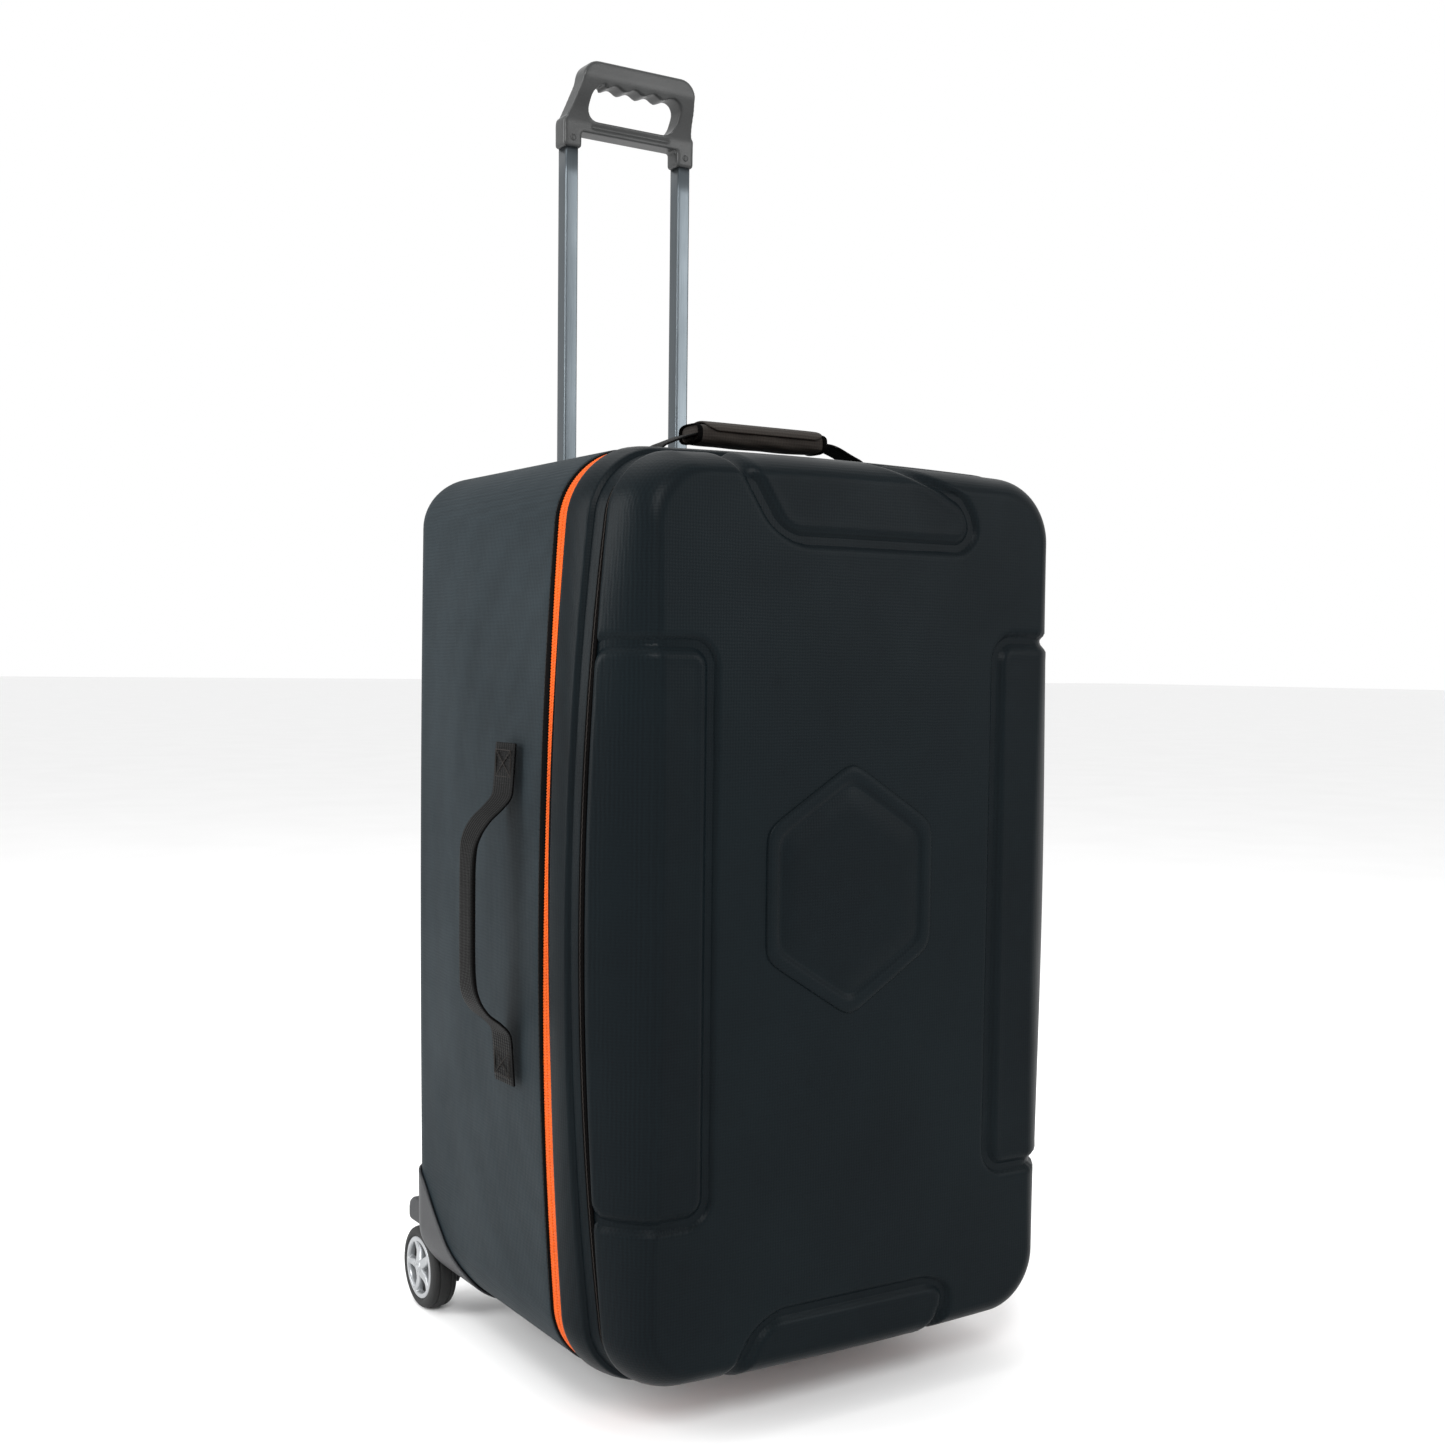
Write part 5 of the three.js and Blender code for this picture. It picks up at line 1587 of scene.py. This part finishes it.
    def build_rivet(self, side: str, sign: int) -> bpy.types.Object:
        """A domed rivet head on the front of one socket, as high as its CAD node.

        Args:
            side: Left or right, as in the CAD names.
            sign: -1 on the left, 1 on the right.
        Returns:
            The rivet head.
        """
        low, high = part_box(f"grip_rivet_{side}")
        head = MM * np.array([(0, 0), (2.2, 0.1), (3.1, 0.6), (3.4, 1.2), (3.4, 2.4), (0, 2.4)])
        rivet = lathe_x(f"domed_rivet_{side}", head, (0, 0, 0), 32)
        front = TUBE_Y - self.thick / 2 - 0.9 * MM
        self.face_forward(rivet, (sign * TUBE_X, front, (low[2] + high[2]) / 2))
        return rivet

    def build(self) -> None:
        """Builds and dresses the handle."""
        add = self.pieces.add
        add(self.build_grip(), GRIP, "grip_plastic", "pull_handle", ["grip"])
        add(self.build_bezel(), MOULDED, "moulded_grey", "case", ["handle_bezel"])
        for side, sign in SIDES:
            add(self.build_tube(f"drawn_tube_{side}", sign, 14 * MM, 17 * MM, 1.3 * MM, (690 * MM, 1150 * MM)),
                TUBE_METAL, "tube_metal", "pull_handle", [f"inner_tube_{side}"])
            add(self.build_tube(f"drawn_guide_{side}", sign, 18.6 * MM, 21.4 * MM, 1.1 * MM, (92 * MM, 798 * MM)),
                GUIDE_METAL, "guide_metal", "case", [f"guide_tube_{side}"])
            add(self.build_rivet(side, sign), GRIP, "steel", "pull_handle", [f"grip_rivet_{side}"])
        low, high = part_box("release_button")
        origin = CASE.place(np.zeros(3))
        button = rounded_box(np.array(low) - origin, np.array(high) - origin, 1.8 * MM, "push_button", 6)
        add(button, MOULDED, "moulded_grey", "release", ["release_button"])
        Pieces.dress_kept(["back_board"], BOARD)
        Pieces.dress_kept(["guide_bracket", "slide_shoe_left", "slide_shoe_right"], MOULDED)
        Pieces.dress_kept(["release_rod_left", "release_rod_right", "lock_pin_left", "lock_pin_right"], STEEL)

    @staticmethod
    def face_forward(made: bpy.types.Object, at: tuple[float, float, float]) -> None:
        """Turns a small lathed piece from the X axis to the Y axis and moves it into place.

        Args:
            made: The piece, turned about X at the origin.
            at: Its place.
        """
        origin = CASE.place(np.zeros((1, 3)))
        quarter = np.array([[0.0, 1.0, 0.0], [-1.0, 0.0, 0.0], [0.0, 0.0, 1.0]])
        reshape(made, lambda points: CASE.place((points - origin) @ quarter + np.array(at)))


# ---------------------------------------------------------------- wheels
@dataclass
class Wheels:
    """Two in-line skate wheels with silver spoked hubs."""

    pieces: Pieces
    face_x: float = 216 * MM
    width: float = 26 * MM
    radius: float = 40 * MM
    rim: float = 30 * MM
    spokes: int = 5

    def build_tyre(self, side: str, sign: int) -> bpy.types.Object:
        """A tyre: a crowned tread with two grooves and rounded shoulders.

        Args:
            side: Left or right, as in the CAD names.
            sign: -1 on the left, 1 on the right.
        Returns:
            The tyre.
        """
        mid = self.width / 2
        half = [(30.2, 12.4), (33.5, 12.9), (36.5, 12.3), (38.6, 10.6), (39.5, 8.4), (39.7, 6.4), (38.6, 6.0),
                (38.6, 5.2), (39.85, 4.8), (40, 0)]
        outline = [(r, x) for r, x in half] + [(r, -x) for r, x in reversed(half[:-1])]
        profile = [(r * MM, sign * (self.face_x - mid + x * MM)) for r, x in rounded(outline, 0.8, 3)]
        return lathe_x(f"tyre_tread_{side}", profile + profile[:1], AXLE, 96)

    def build_hub(self, side: str, sign: int) -> bpy.types.Object:
        """A hub: an outer ring, a boss, and five spokes over deep pockets.

        The face's height over each point of a polar grid is the boss and ring near their
        radii, and otherwise the spokes: a smooth step of the distance across to the nearest
        spoke's middle line. The spokes narrow and dip towards the ring.

        Args:
            side: Left or right, as in the CAD names.
            sign: -1 on the left, 1 on the right.
        Returns:
            The hub.
        """
        radius = np.concatenate([np.linspace(0, 8, 5), np.linspace(8.6, 24, 26), np.linspace(24.4, 30.15, 12)]) * MM
        angle = np.linspace(0, TAU, 260, endpoint=False)
        r, a = np.meshgrid(radius, angle, indexing="ij")
        nearest = (a + math.pi / self.spokes) % (TAU / self.spokes) - math.pi / self.spokes
        across = np.abs(r * np.sin(nearest))
        half = (5.6 - 1.9 * np.clip((r / MM - 8) / 17, 0, 1)) * MM
        spoke = 1 / (1 + np.exp((across - half) / (0.28 * MM)))
        boss = 1 / (1 + np.exp((r - 9.0 * MM) / (0.25 * MM)))
        ring = 1 / (1 + np.exp(-(r - 24.6 * MM) / (0.25 * MM)))
        solid = np.maximum(np.maximum(spoke, boss), ring)
        dish = 1.6 * MM * np.sin(math.pi * np.clip((r / MM - 8) / 17, 0, 1))
        face = -12 * MM * (1 - solid) - dish * spoke - 0.8 * MM * np.clip((r - 28.4 * MM) / (1.75 * MM), 0, 1) ** 2
        top = self.face_x - 0.4 * MM
        front = np.stack([sign * (top + face), r * np.cos(a), r * np.sin(a)], axis=-1)
        back = self.face_x - self.width + 0.6 * MM
        rear_radius = np.array([30.15, 12, 0]) * MM
        rear = np.stack([np.full((3, 260), sign * back), rear_radius[:, None] * np.cos(angle),
                         rear_radius[:, None] * np.sin(angle)], axis=-1)
        return surface(f"spoked_hub_{side}", np.concatenate([front, rear]) + np.array(AXLE))

    def build(self) -> None:
        """Builds and dresses both wheels and their axles."""
        add = self.pieces.add
        for side, sign in SIDES:
            body = f"wheel_{side}"
            add(self.build_tyre(side, sign), TYRE, "tyre_rubber", body, [f"tyre_{side}"])
            add(self.build_hub(side, sign), HUB, "hub_plastic", body, [f"wheel_hub_{side}"])
            dish = [(0, 9), (25.4, 6.5), (25.4, 12), (0, 12)]
            floor = lathe_x(f"hub_pocket_floor_{side}",
                            [(r * MM, sign * (self.face_x - depth * MM)) for r, depth in dish], AXLE, 64)
            add(floor, TYRE, "hub_plastic", body)
            low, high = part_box(f"hub_cap_{side}")
            radius = (high[2] - low[2]) / 2
            outer = (high[0] if sign > 0 else -low[0]) + sign * -CASE.centre_x
            shape = [(0, 0), (0.45, 0), (0.5, -0.5), (0.62, -0.5), (0.68, 0), (0.9, -0.3), (1.0, -1.1),
                     (1.0, -5), (0, -5)]
            profile = [(r * radius, sign * (outer + h * MM)) for r, h in shape]
            add(lathe_x(f"axle_cap_{side}", profile, AXLE, 64), HUB, "hub_plastic", body,
                [f"hub_cap_{side}"])
        Pieces.dress_kept(["wheel_axle_left", "wheel_axle_right"], STEEL)


# ---------------------------------------------------------------- soft handles
@dataclass
class TopHandle:
    """Webbing from two sewn tabs through a padded fabric wrap with a flap."""

    pieces: Pieces
    y: float = 70 * MM
    level: float = 833.2 * MM
    wrap_middle: float = -5 * MM
    wrap_half: float = 67 * MM
    wrap_power: float = 0.62

    def shell_top(self, x: float) -> float:
        """Height of the tray's top at an offset x.

        Args:
            x: The offset from the centre plane.
        Returns:
            The height.
        """
        share = self.y / (BACK_Y - BACK_EDGE)
        spec = ZIP_LINE.toward(BACK, share)
        return CASE.mid_z + spec.height + spec.bulge_z * (1 - (x / spec.width) ** 2)

    def build_webbing(self) -> bpy.types.Object:
        """The webbing's whole run, from one sewn end to the other.

        Returns:
            The webbing.
        """
        base = self.shell_top(0.1)
        half = [(-132, base / MM + 1.0), (-122, base / MM + 1.3), (-115, base / MM + 2.6), (-110, 815.5), (-104, 820.5),
                (-96, 824.0), (-86, 828.0), (-76, 831.3), (-64, 833), (-30, 833.3), (0, 833.3)]
        line = half + [(-x, z) for x, z in reversed(half[:-1])]
        path = smooth_path([(x * MM, self.y, z * MM) for x, z in line], 240)
        widths = 15 - 1.5 * np.exp(-((np.abs(path[:, 0]) / MM - 92) / 12) ** 2)
        unit = slab_section(1.0, 1.15 * MM)
        section = np.repeat(unit[None], len(path), axis=0)
        section[..., 0] *= widths[:, None] * MM
        return strip("carry_webbing", path, (0, 1, 0), section)

    def build_wrap(self) -> bpy.types.Object:
        """The padded wrap: a soft rounded tube, drawn in and bound at both ends.

        Its section is a superellipse, fuller in the middle of its length, with slow folds
        that run across it.

        Returns:
            The wrap.
        """
        x = np.linspace(-self.wrap_half, self.wrap_half, 90)
        angle = np.linspace(0, TAU, 96, endpoint=False)
        share = np.abs(x / self.wrap_half)
        full = 1 - 0.10 * share ** 6 - 0.5 * np.clip((share - 0.985) / 0.015, 0, 1) ** 2
        fold = 1 + 0.018 * np.sin(x[:, None] / (7.5 * MM) + 2.2 * np.sin(angle) + 1.3 * np.cos(2 * angle))
        across, up = (superellipse(96, self.wrap_power) * np.array([17.6, 9.0]) * MM).T
        rows = np.stack([np.broadcast_to(x[:, None] + self.wrap_middle, fold.shape),
                         self.y + full[:, None] * fold * across,
                         self.level + full[:, None] * fold * up], axis=-1)
        return capped("carry_wrap", rows)

    def build_binding(self, name: str, x: float) -> bpy.types.Object:
        """A dark bound edge round one end of the wrap.

        Args:
            name: The piece's name.
            x: Its place along the wrap.
        Returns:
            The bound edge.
        """
        ring = superellipse(96, self.wrap_power)
        turn = np.linspace(0, TAU, 10, endpoint=False)
        across = (16.3 + 0.9 * np.cos(turn))[:, None] * MM * ring[:, 0]
        up = (8.1 + 0.9 * np.cos(turn))[:, None] * MM * ring[:, 1]
        along = x + 2.6 * MM * np.sin(turn)
        rows = np.stack([np.broadcast_to(along[:, None], across.shape), self.y + across, self.level + up], axis=-1)
        return surface(name, rows, Closing.BOTH)

    def build_flap(self) -> bpy.types.Object:
        """The flap: a curved sheet from the wrap's back edge over its top to a free front edge.

        Its path bends over a half ellipse; its width draws in at both ends to round corners.

        Returns:
            The flap.
        """
        turn = np.linspace(math.radians(18), math.radians(168), 30)
        mid_y = self.y - 1.0 * MM
        path = np.stack([np.full(30, self.wrap_middle + 2 * MM), mid_y + 19.0 * MM * np.cos(turn),
                         self.level - 1.5 * MM + 12.6 * MM * np.sin(turn) ** 0.8], axis=1)
        path = smooth_path(path, 60)
        t = np.linspace(0, 1, 60)
        half = (61 - 10 * np.clip((t - 0.78) / 0.22, 0, 1) ** 3 - 3 * np.clip((0.1 - t) / 0.1, 0, 1) ** 2) * MM
        unit = slab_section(1.0, 1.0 * MM, 20)
        section = np.repeat(unit[None], 60, axis=0)
        section[..., 0] *= half[:, None]
        return strip("carry_flap", path, (1, 0, 0), section)

    def build_tab(self, name: str, sign: int) -> bpy.types.Object:
        """A box of stitches that holds one end of the webbing to the tray.

        Args:
            name: The piece's name.
            sign: -1 on the left, 1 on the right.
        Returns:
            The thread.
        """
        line, lift = sewn_box((112 * MM, -11 * MM), (130 * MM, 11 * MM), 40)
        z = self.shell_top(0.12) + 2.0 * MM + lift
        path = np.column_stack([sign * line[:, 0], self.y + line[:, 1], z])
        return strip(name, path, (0.0, 0.0, 1.0), thread_section(THREAD_RADIUS, 6))

    def build(self) -> None:
        """Builds and dresses the top handle."""
        add = self.pieces.add
        wrap = add(self.build_wrap(), WRAP_FABRIC, "wrap_fabric", "top_handle", ["top_handle_wrap"])
        add(self.build_flap(), WRAP_FABRIC, "wrap_fabric", "handle_flap", ["top_handle_flap"])
        for side, sign in SIDES:
            end = self.wrap_middle + sign * (self.wrap_half - 1 * MM)
            add(self.build_binding(f"carry_binding_{side}", end), BINDING, "zip_tape", "top_handle")
            add(self.build_tab(f"carry_stitches_{side}", sign), THREAD, "zip_tape", "case",
                [f"top_handle_tab_{side}"])
        webbing = add(self.build_webbing(), WEBBING, "webbing", None,
                      ["top_handle_webbing", "top_handle_end_left", "top_handle_end_right"])
        low = CASE.place(np.array([[0, self.y, 811 * MM]]))[0]
        high = CASE.place(np.array([[0, self.y, 829 * MM]]))[0]
        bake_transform(webbing)


@dataclass
class SideStrap:
    """A bowed webbing handle on the left side, sewn down at both ends."""

    pieces: Pieces
    y: float = 70 * MM

    def build_webbing(self) -> bpy.types.Object:
        """The strap: flat at its tabs, folded narrower and thicker at its middle.

        Returns:
            The strap.
        """
        line = [(-246.2, 281), (-247.4, 296), (-248.6, 314), (-250.6, 325), (-258.5, 334), (-269.5, 343),
                (-277.5, 356), (-280.4, 375), (-280.9, 424), (-280.4, 472), (-277.5, 489), (-269.5, 502),
                (-258.5, 512), (-250.6, 521), (-248.6, 532), (-247.4, 550), (-246.2, 566)]
        path = smooth_path([(x * MM, self.y, z * MM) for x, z in line], 260)
        from_middle = np.abs(path[:, 2] - 423.5 * MM)
        fold = 1 / (1 + np.exp((from_middle - 62 * MM) / (7 * MM)))
        unit = slab_section(1.0, 1.0)
        section = np.repeat(unit[None], len(path), axis=0)
        section[..., 0] *= ((18.4 - 6.4 * fold) * MM)[:, None]
        section[..., 1] *= ((1.25 + 1.3 * fold) * MM)[:, None]
        return strip("side_webbing", path, (0, 1, 0), section)

    def build_stitches(self, name: str, z_range: tuple[float, float]) -> bpy.types.Object:
        """A sewn box with a cross on one tab.

        Args:
            name: The piece's name.
            z_range: Heights of its lower and upper edge.
        Returns:
            The thread.
        """
        line, lift = sewn_box((-14 * MM, z_range[0]), (14 * MM, z_range[1]), 44)
        path = np.column_stack([-(248.9 * MM + lift), self.y + line[:, 0], line[:, 1]])
        return strip(name, path, (1.0, 0.0, 0.0), thread_section(THREAD_RADIUS, 6))

    def build(self) -> None:
        """Builds and dresses the side strap."""
        for name, z_range in (("upper", (538 * MM, 560 * MM)), ("lower", (287 * MM, 309 * MM))):
            self.pieces.add(self.build_stitches(f"side_stitches_{name}", z_range), THREAD, "zip_tape", "case",
                            [f"side_strap_tab_{name}"])
        webbing = self.pieces.add(self.build_webbing(), WEBBING, "webbing", None,
                                  ["side_strap", "side_strap_end_upper", "side_strap_end_lower"])
        near, far = (CASE.place(np.array([[-x, self.y, 423.5 * MM]]))[0] for x in (249.5 * MM, 266 * MM))
        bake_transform(webbing)


# ---------------------------------------------------------------- studio
@dataclass(frozen=True)
class SoftLight:
    """A rectangular soft light aimed at a point.

    Attributes:
        name: The light's name.
        at: Its place.
        target: The point it faces.
        size: Its width and height.
        power: Its power in watts.
    """

    name: str
    at: tuple[float, float, float]
    target: tuple[float, float, float]
    size: tuple[float, float]
    power: float

    def build(self) -> None:
        """Hangs the light in the scene."""
        data = bpy.data.lights.new(self.name, "AREA")
        data.shape, data.energy = "RECTANGLE", self.power
        data.size, data.size_y = self.size
        light = bpy.data.objects.new(self.name, data)
        light.location = self.at
        light.rotation_euler = (Vector(self.target) - Vector(self.at)).to_track_quat("-Z", "Y").to_euler()
        bpy.context.collection.objects.link(light)


@dataclass
class Studio:
    """A pale floor, a key light, soft lights from the left, front and above, and the camera."""

    eye: tuple[float, float, float] = (-0.86311, -1.41363, 0.63202)
    heading: float = 0.5718
    pitch: float = -0.0609
    roll: float = 0.0120
    lens: float = 44.31
    shift: tuple[float, float] = (-0.0131, 0.0357)
    lights: tuple[SoftLight, ...] = (
        SoftLight("soft_left", (-2.7, 0.75, 1.3), (0.0, 0.1, 0.55), (1.2, 2.2), 78.0),
        SoftLight("soft_front", (1.9, -2.6, 1.6), (0.1, 0.0, 0.6), (0.9, 1.8), 34.0),
        SoftLight("soft_top", (-0.2, 0.4, 3.2), (0.0, 0.0, 0.5), (2.6, 2.6), 40.0),
        SoftLight("key", (-1.5, -2.6, 2.3), (0.0, 0.0, 0.55), (0.5, 0.9), 60.0),
    )

    def build_floor(self) -> None:
        """A pale matt floor, wide enough to reach the horizon."""
        across, along = np.meshgrid(np.linspace(-60, 60, 9), np.linspace(-60, 60, 9))
        grid = np.stack([across, along, np.zeros_like(across)], axis=-1)
        floor = surface("studio_floor", grid, Closing.NONE)
        paper = bpy.data.materials.new("matt_paper_white")
        paper.use_nodes = True
        tree = paper.node_tree
        shader = tree.nodes["Principled BSDF"]
        fibre = add_node(tree, "TexNoise", Vector=(add_node(tree, "TexCoord"), "Object"), Scale=3.0)
        tint = add_node(tree, "Mix", {"data_type": "RGBA"}, in0=(fibre, "Fac"), in6=linear("f4f4f4"),
                        in7=linear("eeeeee"))
        tree.links.new(tint.outputs[2], shader.inputs["Base Color"])
        shader.inputs["Roughness"].default_value = 0.9
        floor.data.materials.append(paper)

    def add_camera(self) -> None:
        """The camera: heading, then pitch, then roll, all from its own axes."""
        sin_h, cos_h, sin_p, cos_p = (f(a) for a in (self.heading, self.pitch) for f in (math.sin, math.cos))
        forward = np.array([sin_h * cos_p, cos_h * cos_p, sin_p])
        right = np.array([cos_h, -sin_h, 0.0])
        up = np.cross(right, forward)
        turned_right = math.cos(self.roll) * right + math.sin(self.roll) * up
        turned_up = -math.sin(self.roll) * right + math.cos(self.roll) * up
        data = bpy.data.cameras.new("studio_camera")
        data.sensor_width, data.lens = 36.0, self.lens
        data.shift_x, data.shift_y = self.shift
        data.clip_start, data.clip_end = 0.05, 100.0
        camera = bpy.data.objects.new("studio_camera", data)
        axes = np.column_stack([turned_right, turned_up, -forward, self.eye])
        camera.matrix_world = Matrix(np.vstack([axes, [0, 0, 0, 1]]).tolist())
        bpy.context.collection.objects.link(camera)
        bpy.context.scene.camera = camera

    def build(self) -> None:
        """Builds the floor, lights, background and camera."""
        self.build_floor()
        self.add_camera()
        for light in self.lights:
            light.build()
        self.build_background()
        bpy.context.scene.view_settings.view_transform = "Standard"

    @staticmethod
    def build_background() -> None:
        """An even white surround."""
        world = bpy.data.worlds.new("studio_white")
        world.use_nodes = True
        background = world.node_tree.nodes["Background"]
        background.inputs["Color"].default_value = (1.0, 1.0, 1.0, 1.0)
        background.inputs["Strength"].default_value = 1.0
        bpy.context.scene.world = world


def main() -> None:
    """Builds every sub-assembly in order and reports each piece."""
    logging.basicConfig(level=logging.INFO, format="%(message)s")
    pieces = Pieces()
    Studio().build()
    builders: list[Callable[[], None]] = [Lid(pieces).build, RearTray(pieces).build, Zip(pieces).build,
                                          PullHandle(pieces).build, Wheels(pieces).build, TopHandle(pieces).build,
                                          SideStrap(pieces).build]
    for build in builders:
        build()
    LOG.info("%d pieces made", len(pieces.made))


if __name__ == "__main__":
    main()
